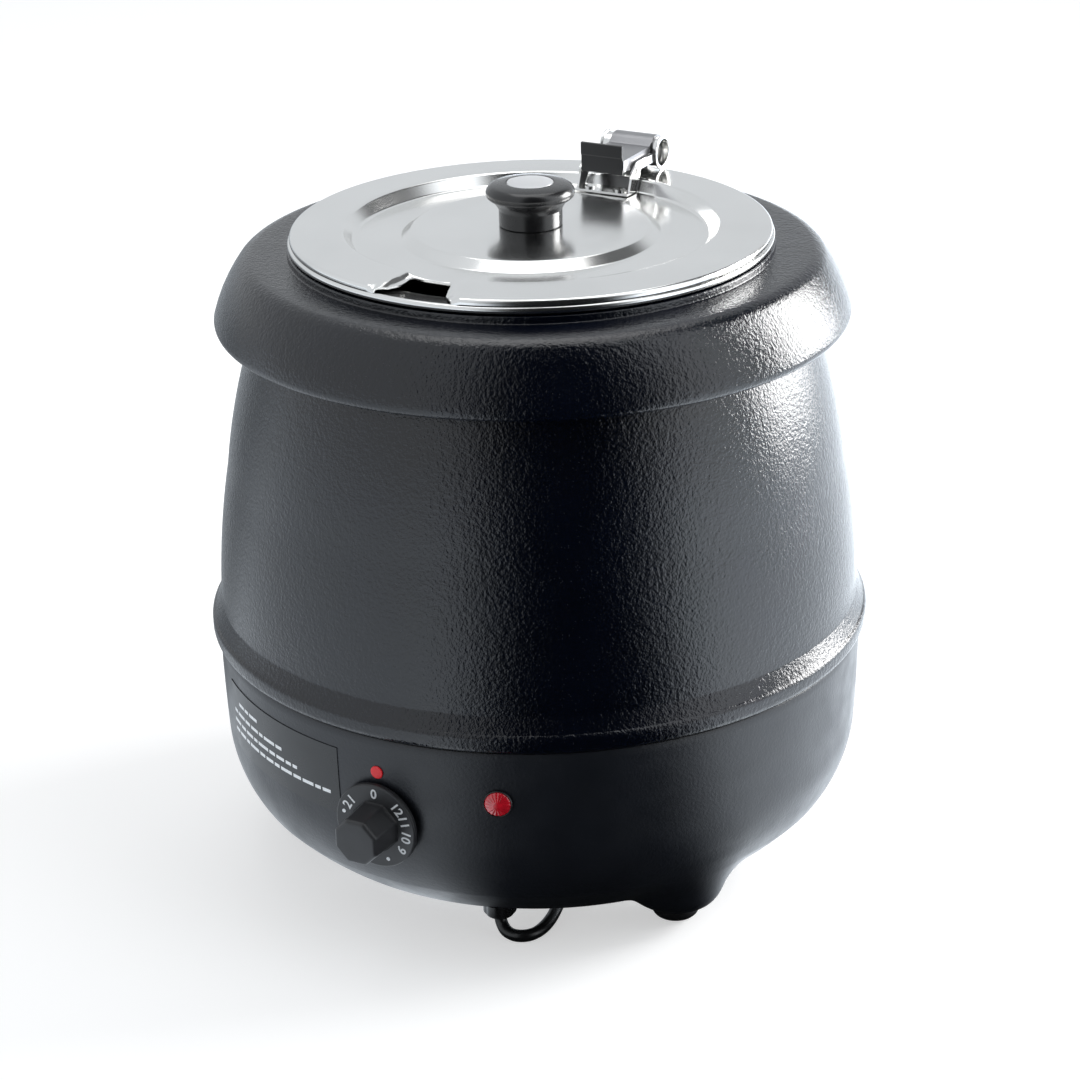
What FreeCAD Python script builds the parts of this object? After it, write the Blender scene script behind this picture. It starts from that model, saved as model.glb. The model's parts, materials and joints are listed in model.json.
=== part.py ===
import FreeCAD, Part

import math
import os
import re

import Sketcher

# Soup kettle: a free-standing counter-top kettle with a lift-out pot and a hinged lid.
# Frame: the kettle's upright axis is Z, the table is z = 0 and the dial faces -Y.

V = FreeCAD.Vector
UP = V(0, 0, 1)
LEFT = 1
RIGHT = -1

doc = FreeCAD.newDocument("soup_kettle")

# ---------------------------------------------------------------- driving dimensions, mm

SIZES = {
    # lower casing: a bowl whose wall leans in by the tilt angles at three heights
    "base_rim_radius": 165.0, "base_rim_height": 121.8,
    "base_wall_radius": 163.64, "base_wall_height": 70.0, "base_wall_tilt": 3.0,
    "base_corner_radius": 152.9, "base_corner_height": 38.0, "base_corner_tilt": 36.0,
    "base_cone_radius": 136.1, "base_cone_height": 22.0, "base_cone_tilt": 51.0,
    "base_floor_radius": 126.3, "base_floor_height": 18.5,
    "wall_bend": 990.0, "corner_bend": 63.1, "cone_bend": 128.5, "floor_bend": 15.4,
    "base_skin": 2.2, "base_opening_radius": 88.0,
    "leg_count": 3, "leg_circle": 124.0, "leg_tip_radius": 12.6, "leg_tip_height": 7.8,
    "leg_knee_radius": 24.0, "leg_knee_height": 19.5, "leg_knee_bend": 13.0,
    "leg_top_radius": 29.5, "leg_top_height": 46.0, "leg_turn": 180.0, "stud_turn": 90.0,
    # feet and floor plate
    "foot_radius": 12.0, "foot_height": 7.6, "foot_edge": 3.6, "foot_recess_radius": 5.2,
    "foot_recess_depth": 3.2, "foot_bore_radius": 2.1, "foot_screw_radius": 2.0,
    "foot_screw_head_radius": 4.0, "foot_screw_head_height": 2.0, "foot_screw_length": 16.5,
    "cover_radius": 98.5, "cover_thick": 1.4, "cover_screw_circle": 93.5, "cover_screw_count": 6,
    "small_screw_radius": 1.7, "small_screw_bore": 1.8, "small_head_radius": 3.4,
    "small_head_height": 1.8, "small_screw_length": 8.0,
    "vent_count": 18, "vent_circle": 66.0, "vent_width": 4.0, "vent_length": 26.0,
    # barrel-shaped wall with a bead at its foot
    "body_skin": 1.2, "bead_lip_radius": 164.6, "bead_lip_height": 122.6, "bead_radius": 168.4,
    "bead_low_height": 126.6, "bead_bend": 4.3, "bead_high_height": 130.2,
    "bead_shelf_radius": 166.9, "bead_shelf_height": 132.8, "bead_shelf_bend": 3.4,
    "belly_radius": 163.2, "belly_height": 140.5, "waist_radius": 155.6, "waist_height": 210.0,
    "belly_bend": 430.0, "neck_radius": 132.6, "neck_height": 297.0, "neck_bend": 330.0,
    "neck_flange_radius": 127.6, "neck_flange_height": 299.0,
    "ring_inner_radius": 159.8, "ring_outer_radius": 162.5, "ring_low": 108.0, "ring_high": 134.0,
    # collar that carries the pot
    "collar_skin": 2.0, "seat_radius": 113.5, "seat_drop": 3.0, "seat_height": 320.8,
    "step_radius": 119.8, "step_height": 317.2, "shoulder_radius": 137.8,
    "shoulder_height": 317.4, "shoulder_bend": 11.3, "collar_side_radius": 144.6,
    "collar_side_high": 313.6, "collar_side_bend": 80.0, "collar_radius": 157.3,
    "collar_side_low": 288.2, "collar_lip_radius": 152.0, "collar_lip_height": 283.8,
    "collar_lip_bend": 3.9,
    "rib_inner_radius": 118.0, "rib_outer_radius": 120.4, "rib_low": 312.0, "rib_high": 316.4,
    # water well and its gasket
    "well_radius": 117.0, "well_skin": 1.0, "well_floor": 49.0, "well_bend": 20.0,
    "well_flange_radius": 131.0, "well_flange_height": 309.0,
    "gasket_inner_radius": 117.2, "gasket_low": 310.1,
    "tie_circle": 124.0, "tie_radius": 2.5, "tie_bore": 2.7, "tie_low": 14.5, "tie_high": 315.0,
    "tie_nut_radius": 4.4, "tie_nut_height": 3.0, "tie_boss_radius": 4.8, "tie_turn": 90.0,
    # heating stack under the well
    "spreader_radius": 94.0, "spreader_thick": 2.5, "element_circle": 68.0, "element_radius": 4.0,
    "element_gap": 22.0, "element_tail": 16.0, "clamp_inner": 30.0, "clamp_outer": 86.0,
    "clamp_thick": 1.5, "clamp_hole": 6.5, "stud_circle": 45.0, "stud_radius": 2.5,
    "stud_bore": 2.6, "stud_low": 20.5, "stud_nut_radius": 4.5, "stud_nut_height": 2.5,
    "shield_radius": 101.0, "shield_height": 25.5, "shield_thick": 0.8,
    "cutout_radius": 8.0, "cutout_height": 6.5, "cutout_flange_radius": 11.0,
    "cutout_flange_thick": 1.0, "cutout_tab_width": 4.0,
    # thermostat behind the dial
    "dial_height": 77.0, "thermostat_width": 38.0, "thermostat_depth": 30.0,
    "thermostat_tall": 42.0, "thermostat_front": 157.0, "bushing_radius": 5.0,
    "bushing_end": 161.2, "shaft_radius": 3.0, "shaft_bore": 3.05, "shaft_back": 150.5,
    "shaft_end": 182.0, "shaft_hole": 4.4, "dial_screw_spacing": 28.0, "dial_screw_back": 155.0,
    "dial_screw_head_top": 165.5, "bulb_radius": 3.0, "bulb_low": 70.0, "bulb_high": 140.0,
    "bulb_gap": 0.15, "capillary_radius": 0.8, "capillary_bend": 7.0, "capillary_top": 158.0,
    "capillary_start": 138.0, "bulb_clip_thick": 0.8, "bulb_clip_tall": 12.0,
    "bulb_clip_height": 100.0, "bulb_clip_half": 10.0,
    # dial
    "dial_back": 166.4, "dial_skirt_radius": 21.8, "dial_skirt_thick": 2.6, "dial_rim": 0.8,
    "dial_grip_across": 24.0, "dial_grip_length": 18.8, "dial_grip_taper": 2.0,
    "dial_grip_edge": 1.6, "dial_bore_depth": 15.6, "dial_bore": 3.02,
    # marks and lamp on the wall
    "dot_radius": 3.3, "dot_height": 104.0, "dot_back": 164.9, "dot_thick": 0.7,
    "lamp_azimuth": 21.0, "lamp_height": 96.0, "lamp_hole": 6.1, "lamp_bezel_radius": 7.0,
    "lamp_bezel_bore": 6.3, "lamp_bezel_back": 164.9, "lamp_bezel_thick": 1.5,
    "lamp_lens_radius": 6.2, "lamp_lens_dome": 1.9, "lamp_body_radius": 5.9,
    "lamp_body_depth": 24.0, "lamp_tab_radius": 1.2, "lamp_tab_length": 8.0,
    "lamp_nut_radius": 9.0, "lamp_nut_front": 161.4, "lamp_nut_thick": 2.4,
    "label_low": 75.0, "label_high": 111.0, "label_low_radius": 163.98,
    "label_high_radius": 165.01, "label_thick": 0.3, "label_span": 34.0, "label_start": -42.0,
    # terminals on the floor
    "block_width": 40.0, "block_depth": 14.0, "block_tall": 13.0, "block_back": 104.0,
    "block_screw_radius": 1.6, "block_screw_high": 1.2, "block_ways": 3, "block_pitch": 11.0,
    "earth_azimuth": -34.0, "earth_circle": 112.0, "earth_radius": 2.0, "earth_high": 32.0,
    "earth_nut_radius": 4.0, "earth_nut_high": 3.0, "wire_radius": 1.3, "wire_bend": 6.0, "wire_rise": 3.0,
    # cord, gland and plug
    "cord_radius": 3.1, "gland_across": 37.6, "gland_out": -117.2, "gland_flange_radius": 8.3,
    "gland_edge": 13.3, "gland_dome_bend": 4.4, "gland_mouth_radius": 4.9,
    "gland_mouth_height": 10.4, "gland_bore": 3.15, "gland_stop": 12.3, "gland_neck_radius": 6.2,
    "gland_hole": 6.4, "gland_top": 28.0, "gland_nut_radius": 9.5, "gland_nut_high": 3.5,
    "coil_x": -106.0, "coil_y": 195.0, "coil_inner": 31.2,
    "coil_outer": 43.8, "coil_step": 12.5, "coil_top": 18.8, "coil_crown_inner": 34.2,
    "coil_crown_outer": 40.8, "plug_length": 34.0, "plug_width": 27.0, "plug_tall": 20.0,
    "relief_length": 26.0, "relief_radius": 5.2, "relief_tip": 4.0,
    "plug_x": -36.0, "plug_y": 232.4, "plug_axis_height": 10.1, "blade_length": 17.0,
    "blade_wide": 6.4, "blade_thick": 1.5, "blade_spacing": 12.7, "earth_pin_radius": 2.4,
    "earth_pin_length": 20.5, "earth_pin_drop": 5.9, "blade_rise": 2.6,
    # pot
    "pot_radius": 100.5, "pot_skin": 0.8, "pot_floor": 62.0, "pot_bend": 20.0,
    "pot_neck_height": 317.0, "pot_flare_radius": 103.5, "pot_flare_height": 322.4,
    "pot_flange_radius": 116.9, "pot_flange_height": 323.2, "rim_circle": 117.7,
    "rim_radius": 1.8, "rim_height": 323.2,
    # lid
    "lid_skin": 0.7, "lid_flat_radius": 20.0, "lid_crown": 328.1,
    "lid_plateau_radius": 58.5, "lid_plateau": 327.7,
    "lid_slope_radius": 64.0, "lid_recess": 323.3, "lid_well_radius": 87.4,
    "lid_well": 322.7, "lid_brim_inner": 92.4, "lid_brim_high": 328.9, "lid_brim_outer": 116.6,
    "lid_brim_low": 328.1, "lid_edge_bend": 2.0, "lid_radius": 118.4, "lid_edge": 326.4,
    "lid_hem": 325.35, "lid_screw_bore": 2.7, "notch_left": -13.0, "notch_right": 8.0,
    "notch_inner": -93.6, "notch_flare_right": 19.0, "notch_flare_left": -15.5,
    "notch_flare": -111.0, "notch_outer": -122.0, "notch_low": 318.0, "notch_deep": 14.0,
    "hinge_slot_half": 8.3, "hinge_slot_front": 114.4,
    # lid knob
    "knob_base": 328.2, "knob_neck_radius": 15.6, "knob_neck_high": 336.2,
    "knob_head_radius": 21.8, "knob_head_low": 342.0, "knob_head_high": 345.4,
    "knob_shoulder_radius": 18.6, "knob_shoulder": 348.6, "knob_head_bend": 4.2,
    "knob_disc_radius": 11.7, "knob_top": 349.4, "knob_disc_depth": 1.2, "knob_bore": 2.45,
    "knob_bore_top": 342.0, "knob_disc_crown": 350.0, "knob_screw_radius": 2.4,
    "knob_screw_top": 340.0, "knob_screw_head": 4.6, "knob_washer_radius": 8.0,
    "knob_washer_thick": 1.0, "knob_screw_head_high": 2.8,
    # lid hinge: everything turns about one pin across X
    "pin_y": 115.5, "pin_z": 336.8, "pin_radius": 3.5, "pin_fit": 3.52, "pin_run": 3.56,
    "pin_half": 12.6, "pin_head_radius": 5.2, "pin_head_thick": 1.4,
    "barrel_radius": 7.7, "barrel_flange": 8.7, "barrel_bore": 6.9, "barrel_inner_end": 7.9,
    "barrel_web_end": 11.0, "barrel_flange_start": 15.3, "barrel_end": 16.5,
    "bracket_half": 15.2, "bracket_skin": 1.2, "bracket_front": 75.2, "bracket_back": 86.5,
    "bracket_floor": 323.45, "ear_front": 81.0, "ear_back": 91.2, "ear_toe_front": 78.0,
    "ear_toe_back": 84.5, "ear_knee": 331.0, "ear_arm_low": 333.8, "ear_arm_high": 338.2,
    "ear_shoulder": 88.5, "ear_slot_radius": 1.0, "ear_slot_y": 86.0, "ear_slot_low": 333.0,
    "ear_slot_high": 336.0, "rivet_spacing": 17.0, "rivet_y": 80.4, "rivet_radius": 1.5,
    "rivet_head_radius": 2.6, "rivet_head_high": 0.9, "rivet_bore": 1.55,
    "clip_half": 7.5, "clip_radius": 7.4, "clip_web_front": 115.3, "clip_leg_inner": 120.1,
    "clip_leg_outer": 121.2, "clip_leg_low": 321.7, "clip_saddle_low": 325.3,
    "clip_saddle_high": 326.3, "clip_tongue_front": 111.6, "clip_tongue_low": 324.3,
    "clip_tongue_root": 117.3, "clip_tongue_heel": 114.3,
    "clip_tongue_high": 325.1,
    "lever_left": -10.8, "lever_right": 12.6, "lever_skin": 1.1, "lever_curl": 8.9,
    "lever_curl_start": 128.0, "lever_curl_end": 56.0, "lever_plate": 341.5,
    "lever_step": 107.1, "lever_tab_y": 75.0, "lever_tab_thick": 2.0, "lever_tab_low": 334.3,
    "lever_tab_high": 349.4, "lever_cheek_front": 336.5, "lever_cheek_step": 82.0,
    "lever_cheek_low": 335.0, "lever_cheek_rear": 100.0, "lever_cheek_back": 106.8,
    "lever_cheek_high": 338.8,
    "spring_y": 97.5, "spring_low": 329.2, "spring_high": 339.8, "spring_circle": 3.6,
    "spring_wire": 0.5, "spring_turns": 6.0,
    "gap": 0.1,
}

sheet = doc.addObject("Spreadsheet::Sheet", "Dims")
for row, (alias, size) in enumerate(SIZES.items(), start=1):
    sheet.set("A%d" % row, alias)
    sheet.set("B%d" % row, str(size))
    sheet.setAlias("B%d" % row, alias)
doc.recompute()

# ---------------------------------------------------------------- small helpers

nodes = []


def formula(text):
    """A formula in aliases, written with references to the sheet."""
    return re.sub(r"\b([a-z][a-z0-9_]*)\b(?!\()", r"Dims.\1", text)


def size(text):
    """The number that a formula in aliases comes to."""
    return float(sheet.evalExpression(formula(text)))


def bind(thing, **formulas):
    """Properties that follow the sheet."""
    for name, text in formulas.items():
        thing.setExpression(name, formula(text))


def put(thing, x="0", y="0", z="0", axis=None, turn=0):
    """Place a thing, with its position bound to the sheet."""
    if axis is not None:
        thing.Placement = FreeCAD.Placement(V(0, 0, 0), FreeCAD.Rotation(axis, turn))
    thing.setExpression("Placement.Base.x", formula(x))
    thing.setExpression("Placement.Base.y", formula(y))
    thing.setExpression("Placement.Base.z", formula(z))
    return thing


def facing_out(azimuth):
    """Rotation that turns a lathe's axis outwards from the wall at an azimuth from -Y."""
    return FreeCAD.Rotation(UP, azimuth).multiply(FreeCAD.Rotation(V(1, 0, 0), 90))


def node(thing, label):
    """Name a finished sub-part."""
    thing.Label = label
    nodes.append(thing)
    return thing


def arc_centre(start, end, radius, side):
    """Centre of the arc from start to end that lies on that side of the chord."""
    chord = end - start
    half = chord.Length / 2
    reach = math.sqrt(max(radius * radius - half * half, 0))
    across = V(-chord.y, chord.x, 0)
    across.normalize()
    return start + chord * 0.5 + across * (reach * side)


def angle_of(vector):
    """Direction of a vector in the sketch plane."""
    return math.atan2(vector.y, vector.x)


def hold_point(sketch, edge, tag, x, y):
    """Hold one end of an edge at formulas for x and y."""
    for text, kind, axis in ((x, "DistanceX", -2), (y, "DistanceY", -1)):
        held = size(text)
        if abs(held) < 1e-9:
            sketch.addConstraint(Sketcher.Constraint("PointOnObject", edge, tag, axis))
        else:
            number = sketch.addConstraint(
                Sketcher.Constraint(kind, -1, 1, edge, tag, held))
            sketch.setExpression("Constraints[%d]" % number, formula(text))


def draw(sketch, corners, closed=True):
    """Draw an outline: each corner is (x, y), or (x, y, radius, side) where an arc leaves it."""
    points = [V(size(corner[0]), size(corner[1]), 0) for corner in corners]
    edges = []
    last = len(corners) if closed else len(corners) - 1
    for index in range(last):
        start = points[index]
        end = points[(index + 1) % len(points)]
        corner = corners[index]
        if len(corner) == 2:
            edges.append((sketch.addGeometry(Part.LineSegment(start, end)), 1, 2))
            continue
        radius = size(corner[2])
        side = corner[3]
        centre = arc_centre(start, end, radius, side)
        first, final = (start, end) if side == LEFT else (end, start)
        circle = Part.Circle(centre, UP, radius)
        arc = Part.ArcOfCircle(circle, angle_of(first - centre), angle_of(final - centre))
        number = sketch.addGeometry(arc)
        edges.append((number, 1, 2) if side == LEFT else (number, 2, 1))
        bound = sketch.addConstraint(Sketcher.Constraint("Radius", number, radius))
        sketch.setExpression("Constraints[%d]" % bound, formula(corner[2]))
    for index, (edge, start_tag, end_tag) in enumerate(edges):
        hold_point(sketch, edge, start_tag, corners[index][0], corners[index][1])
        if closed or index + 1 < len(edges):
            following = edges[(index + 1) % len(edges)]
            sketch.addConstraint(
                Sketcher.Constraint("Coincident", edge, end_tag, following[0], following[1]))
        else:
            hold_point(sketch, edge, end_tag, corners[-1][0], corners[-1][1])
    return sketch


def body_sketch(body, name, role, offset="0"):
    """A sketch on one of the body's own origin planes, raised off it by a formula."""
    plane = [part for part in body.Origin.OriginFeatures if part.Role == role][0]
    sketch = body.newObject("Sketcher::SketchObject", name)
    sketch.AttachmentSupport = [(plane, "")]
    sketch.MapMode = "FlatFace"
    if offset != "0":
        sketch.setExpression("AttachmentOffset.Base.z", formula(offset))
    return sketch


def revolve(body, name, corners, role="XZ_Plane", kind="PartDesign::Revolution", angle=360):
    """Turn an outline about the body's upright axis."""
    sketch = draw(body_sketch(body, name + "_outline", role), corners)
    turn = body.newObject(kind, name)
    turn.Profile = sketch
    turn.ReferenceAxis = (sketch, ["V_Axis"])
    turn.Angle = angle
    return turn


def lathe(label, corners):
    """A turned sub-part."""
    body = doc.addObject("PartDesign::Body", label)
    revolve(body, label + "_turned", corners)
    return node(body, label)


def pad(body, name, corners, length, role="XY_Plane", offset="0"):
    """Push an outline out to a length."""
    sketch = draw(body_sketch(body, name + "_outline", role, offset), corners)
    feature = body.newObject("PartDesign::Pad", name)
    feature.Profile = sketch
    bind(feature, Length=length)
    return feature


def hole(body, name, spots, radius):
    """Cut upright round holes right through the body at the spots."""
    sketch = body_sketch(body, name + "_outline", "XY_Plane")
    for x, y in spots:
        circle = sketch.addGeometry(Part.Circle(V(size(x), size(y), 0), UP, size(radius)))
        bound = sketch.addConstraint(Sketcher.Constraint("Radius", circle, size(radius)))
        sketch.setExpression("Constraints[%d]" % bound, formula(radius))
        hold_point(sketch, circle, 3, x, y)
    doc.recompute()
    before = body.Shape.Volume
    pocket = body.newObject("PartDesign::Pocket", name)
    pocket.Profile = sketch
    pocket.Type = "ThroughAll"
    pocket.Midplane = True
    doc.recompute()
    if body.Shape.Volume > before - 1e-3:
        raise RuntimeError(name + " cuts nothing")
    return pocket


def free_sketch(name, corners, closed, plane="XZ"):
    """A sketch outside any body, upright in XZ or YZ."""
    sketch = doc.addObject("Sketcher::SketchObject", name)
    tilt = FreeCAD.Rotation(V(1, 0, 0), 90)
    if plane == "YZ":
        tilt = FreeCAD.Rotation(UP, 90).multiply(tilt)
    sketch.Placement = FreeCAD.Placement(V(0, 0, 0), tilt)
    return draw(sketch, corners, closed)


def sheet_section(name, corners, skin, plane="XZ"):
    """The section of a sheet whose outer face is an open outline."""
    outline = free_sketch(name + "_outline", corners, False, plane)
    section = doc.addObject("Part::Offset2D", name + "_section")
    section.Source = outline
    section.Mode = "Skin"
    section.Join = "Intersection"
    section.Fill = True
    bind(section, Value=skin)
    return section


def spun_sheet(name, corners, skin):
    """A spun or drawn sheet: its section turned about Z."""
    spun = doc.addObject("Part::Revolution", name)
    spun.Source = sheet_section(name, corners, skin)
    spun.Axis = UP
    spun.Angle = 360
    return spun


def cylinder(name, radius, height, x="0", y="0", z="0", axis=None, turn=0):
    """A round bar that stands on its place."""
    bar = doc.addObject("Part::Cylinder", name)
    bind(bar, Radius=radius, Height=height)
    return put(bar, x, y, z, axis, turn)


def box(name, length, width, height, x, y, z):
    """A block with its lowest corner at its place."""
    block = doc.addObject("Part::Box", name)
    bind(block, Length=length, Width=width, Height=height)
    return put(block, x, y, z)


def hexagon(name, radius, height, x="0", y="0", z="0"):
    """A nut blank that stands on its place."""
    blank = doc.addObject("Part::Prism", name)
    blank.Polygon = 6
    bind(blank, Circumradius=radius, Height=height)
    return put(blank, x, y, z)


def cut(name, base, tool):
    """Base with the tool taken away."""
    result = doc.addObject("Part::Cut", name)
    result.Base = base
    result.Tool = tool
    return result


def join(name, parts):
    """Several touching solids made one."""
    result = doc.addObject("Part::MultiFuse", name)
    result.Shapes = parts
    return result


def group(name, parts):
    """Separate solids that share a node."""
    result = doc.addObject("Part::Compound", name)
    result.Links = parts
    return result


def around(circle, count, turn="0"):
    """Formulas for places spaced evenly on a circle, counted from azimuth zero."""
    places = []
    for index in range(int(size(count))):
        azimuth = "(%s + %d * 360 / %s)" % (turn, index, count)
        places.append(("%s * sin%s" % (circle, azimuth), "-%s * cos%s" % (circle, azimuth)))
    return places


LEGS = around("leg_circle", "leg_count", "leg_turn")
TIES = around("tie_circle", "leg_count", "tie_turn")
STUDS = around("stud_circle", "leg_count", "stud_turn")


# ---------------------------------------------------------------- lower casing

def make_base_shell():
    """Bowl with three leg bulges, hollowed out, with its holes."""
    body = doc.addObject("PartDesign::Body", "base_bowl")
    outside = [
        ("0", "base_floor_height"),
        ("base_floor_radius", "base_floor_height", "floor_bend", LEFT),
        ("base_cone_radius", "base_cone_height", "cone_bend", LEFT),
        ("base_corner_radius", "base_corner_height", "corner_bend", LEFT),
        ("base_wall_radius", "base_wall_height", "wall_bend", LEFT),
        ("base_rim_radius", "base_rim_height"),
        ("0", "base_rim_height"),
    ]
    revolve(body, "bowl", outside)
    leg_outline = [
        ("leg_circle", "leg_tip_height"),
        ("leg_circle + leg_tip_radius", "leg_tip_height", "leg_knee_bend", LEFT),
        ("leg_circle + leg_knee_radius", "leg_knee_height"),
        ("leg_circle + leg_top_radius", "leg_top_height"),
        ("leg_circle", "leg_top_height"),
    ]
    sketch = draw(body_sketch(body, "leg_outline", "YZ_Plane"), leg_outline)
    leg = body.newObject("PartDesign::Revolution", "leg")
    leg.Profile = sketch
    leg.ReferenceAxis = (sketch, ["Edge%d" % len(leg_outline)])
    leg.Angle = 360
    legs = body.newObject("PartDesign::PolarPattern", "legs")
    legs.Originals = [leg]
    axis = [part for part in body.Origin.OriginFeatures if part.Role == "Z_Axis"][0]
    legs.Axis = (axis, [""])
    legs.Angle = 360
    bind(legs, Occurrences="leg_count")
    body.Tip = legs
    doc.recompute()

    def inset(radius, height, tilt):
        """A corner of the inner face, one skin in from the outer one."""
        return (radius + " - base_skin * cos(" + tilt + ")",
                height + " + base_skin * sin(" + tilt + ")")

    cone = inset("base_cone_radius", "base_cone_height", "base_cone_tilt")
    corner = inset("base_corner_radius", "base_corner_height", "base_corner_tilt")
    wall = inset("base_wall_radius", "base_wall_height", "base_wall_tilt")
    inside = [
        ("0", "base_floor_height + base_skin"),
        ("base_floor_radius", "base_floor_height + base_skin", "floor_bend - base_skin", LEFT),
        cone + ("cone_bend - base_skin", LEFT),
        corner + ("corner_bend - base_skin", LEFT),
        wall + ("wall_bend - base_skin", LEFT),
        ("base_rim_radius - base_skin", "base_rim_height + gap"),
        ("0", "base_rim_height + gap"),
    ]
    revolve(body, "hollow", inside, kind="PartDesign::Groove")
    doc.recompute()
    hole(body, "floor_opening", [("0", "0")], "base_opening_radius")
    hole(body, "leg_bores", LEGS, "foot_bore_radius")
    hole(body, "tie_holes", TIES, "tie_bore")
    hole(body, "cover_holes", around("cover_screw_circle", "cover_screw_count"),
         "small_screw_bore")
    hole(body, "gland_opening", [("gland_across", "gland_out")], "gland_hole")
    openings = [wall_rod("dial_opening", "shaft_hole", "0", "dial_height")]
    openings.append(wall_rod("lamp_opening", "lamp_hole", "lamp_azimuth", "lamp_height"))
    for side in ("-", "+"):
        screw = wall_rod("dial_screw_opening", "small_screw_bore", "0", "dial_height")
        openings.append(put_across(screw, side + "dial_screw_spacing / 2"))
    return node(cut("base_shell_cut", body, group("wall_openings", openings)), "base_shell")


def make_feet():
    """Rubber feet, and the screws that hold them in the legs."""
    outline = [
        ("foot_recess_radius", "0"),
        ("foot_radius - foot_edge", "0", "foot_edge", LEFT),
        ("foot_radius", "foot_edge"),
        ("foot_radius", "foot_height"),
        ("foot_bore_radius", "foot_height"),
        ("foot_bore_radius", "foot_recess_depth"),
        ("foot_recess_radius", "foot_recess_depth"),
    ]
    screws = []
    for name, (x, y) in zip(("rear_foot", "left_foot", "right_foot"), LEGS):
        put(lathe(name, outline), x, y)
        low = "foot_recess_depth - foot_screw_head_height"
        head = cylinder(name + "_head", "foot_screw_head_radius", "foot_screw_head_height",
                        x, y, low)
        shank = cylinder(name + "_shank", "foot_screw_radius", "foot_screw_length",
                         x, y, low)
        screws.append(join(name + "_screw", [head, shank]))
    node(group("foot_screw_group", screws), "foot_screws")


def make_floor_cover():
    """Vented plate under the casing, and its screws."""
    body = doc.addObject("PartDesign::Body", "bottom_cover")
    low = "base_floor_height - cover_thick"
    sketch = body_sketch(body, "cover_outline", "XY_Plane", low)
    circle = sketch.addGeometry(Part.Circle(V(0, 0, 0), UP, size("cover_radius")))
    bound = sketch.addConstraint(Sketcher.Constraint("Radius", circle, size("cover_radius")))
    sketch.setExpression("Constraints[%d]" % bound, formula("cover_radius"))
    sketch.addConstraint(Sketcher.Constraint("Coincident", circle, 3, -1, 1))
    plate = body.newObject("PartDesign::Pad", "cover_plate")
    plate.Profile = sketch
    bind(plate, Length="cover_thick")
    doc.recompute()
    slot = body_sketch(body, "vent_outline", "XY_Plane")
    half = "vent_width / 2"
    near = "vent_circle - vent_length / 2"
    far = "vent_circle + vent_length / 2"
    draw(slot, [(near, "-" + half), (far, "-" + half), (far, half), (near, half)])
    vent = body.newObject("PartDesign::Pocket", "vent")
    vent.Profile = slot
    vent.Type = "ThroughAll"
    vent.Midplane = True
    vents = body.newObject("PartDesign::PolarPattern", "vents")
    vents.Originals = [vent]
    axis = [part for part in body.Origin.OriginFeatures if part.Role == "Z_Axis"][0]
    vents.Axis = (axis, [""])
    vents.Angle = 360
    bind(vents, Occurrences="vent_count")
    body.Tip = vents
    doc.recompute()
    spots = around("cover_screw_circle", "cover_screw_count")
    hole(body, "cover_screw_holes", spots, "small_screw_bore")
    node(body, "bottom_cover")
    screws = []
    for index, (x, y) in enumerate(spots):
        name = "cover_screw_%d" % index
        head_low = low + " - small_head_height"
        head = cylinder(name + "_head", "small_head_radius", "small_head_height", x, y, head_low)
        shank = cylinder(name + "_shank", "small_screw_radius", "small_screw_length",
                         x, y, head_low)
        screws.append(join(name, [head, shank]))
    node(group("cover_screw_group", screws), "bottom_cover_screws")


# ---------------------------------------------------------------- upper casing

def make_body_shell():
    """Barrel-shaped wall whose lower edge is rolled out into a bead."""
    outline = [
        ("bead_lip_radius", "bead_lip_height", "bead_bend", LEFT),
        ("bead_radius", "bead_low_height"),
        ("bead_radius", "bead_high_height", "bead_shelf_bend", LEFT),
        ("bead_shelf_radius", "bead_shelf_height"),
        ("belly_radius", "belly_height", "belly_bend", LEFT),
        ("waist_radius", "waist_height", "neck_bend", LEFT),
        ("neck_radius", "neck_height"),
        ("neck_flange_radius", "neck_flange_height"),
    ]
    node(spun_sheet("body_wall", outline, "body_skin"), "body_shell")
    lathe("locating_ring", [
        ("ring_inner_radius", "ring_low"),
        ("ring_outer_radius", "ring_low"),
        ("ring_outer_radius", "ring_high"),
        ("ring_inner_radius", "ring_high"),
    ])


def make_collar():
    """Rounded ring on top, with the rib that presses on the gasket and three bosses."""
    outline = [
        ("collar_lip_radius", "collar_lip_height", "collar_lip_bend", LEFT),
        ("collar_radius", "collar_side_low", "collar_side_bend", LEFT),
        ("collar_side_radius", "collar_side_high", "shoulder_bend", LEFT),
        ("shoulder_radius", "shoulder_height"),
        ("step_radius", "step_height"),
        ("step_radius", "seat_height"),
        ("seat_radius", "seat_height"),
        ("seat_radius", "seat_height - seat_drop"),
    ]
    top = spun_sheet("collar_top", outline, "collar_skin")
    rib = doc.addObject("PartDesign::Body", "collar_rib")
    revolve(rib, "rib", [
        ("rib_inner_radius", "rib_low"),
        ("rib_outer_radius", "rib_low"),
        ("rib_outer_radius", "rib_high"),
        ("rib_inner_radius", "rib_high"),
    ])
    bosses = [cylinder("collar_boss", "tie_boss_radius", "rib_high - rib_low", x, y, "rib_low")
              for x, y in TIES]
    solid = join("collar_solid", [top, rib] + bosses)
    bores = [cylinder("boss_bore", "tie_bore", "tie_high - rib_low + gap", x, y,
                      "rib_low - gap") for x, y in TIES]
    node(cut("collar_cut", solid, group("boss_bores", bores)), "top_collar")


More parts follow.
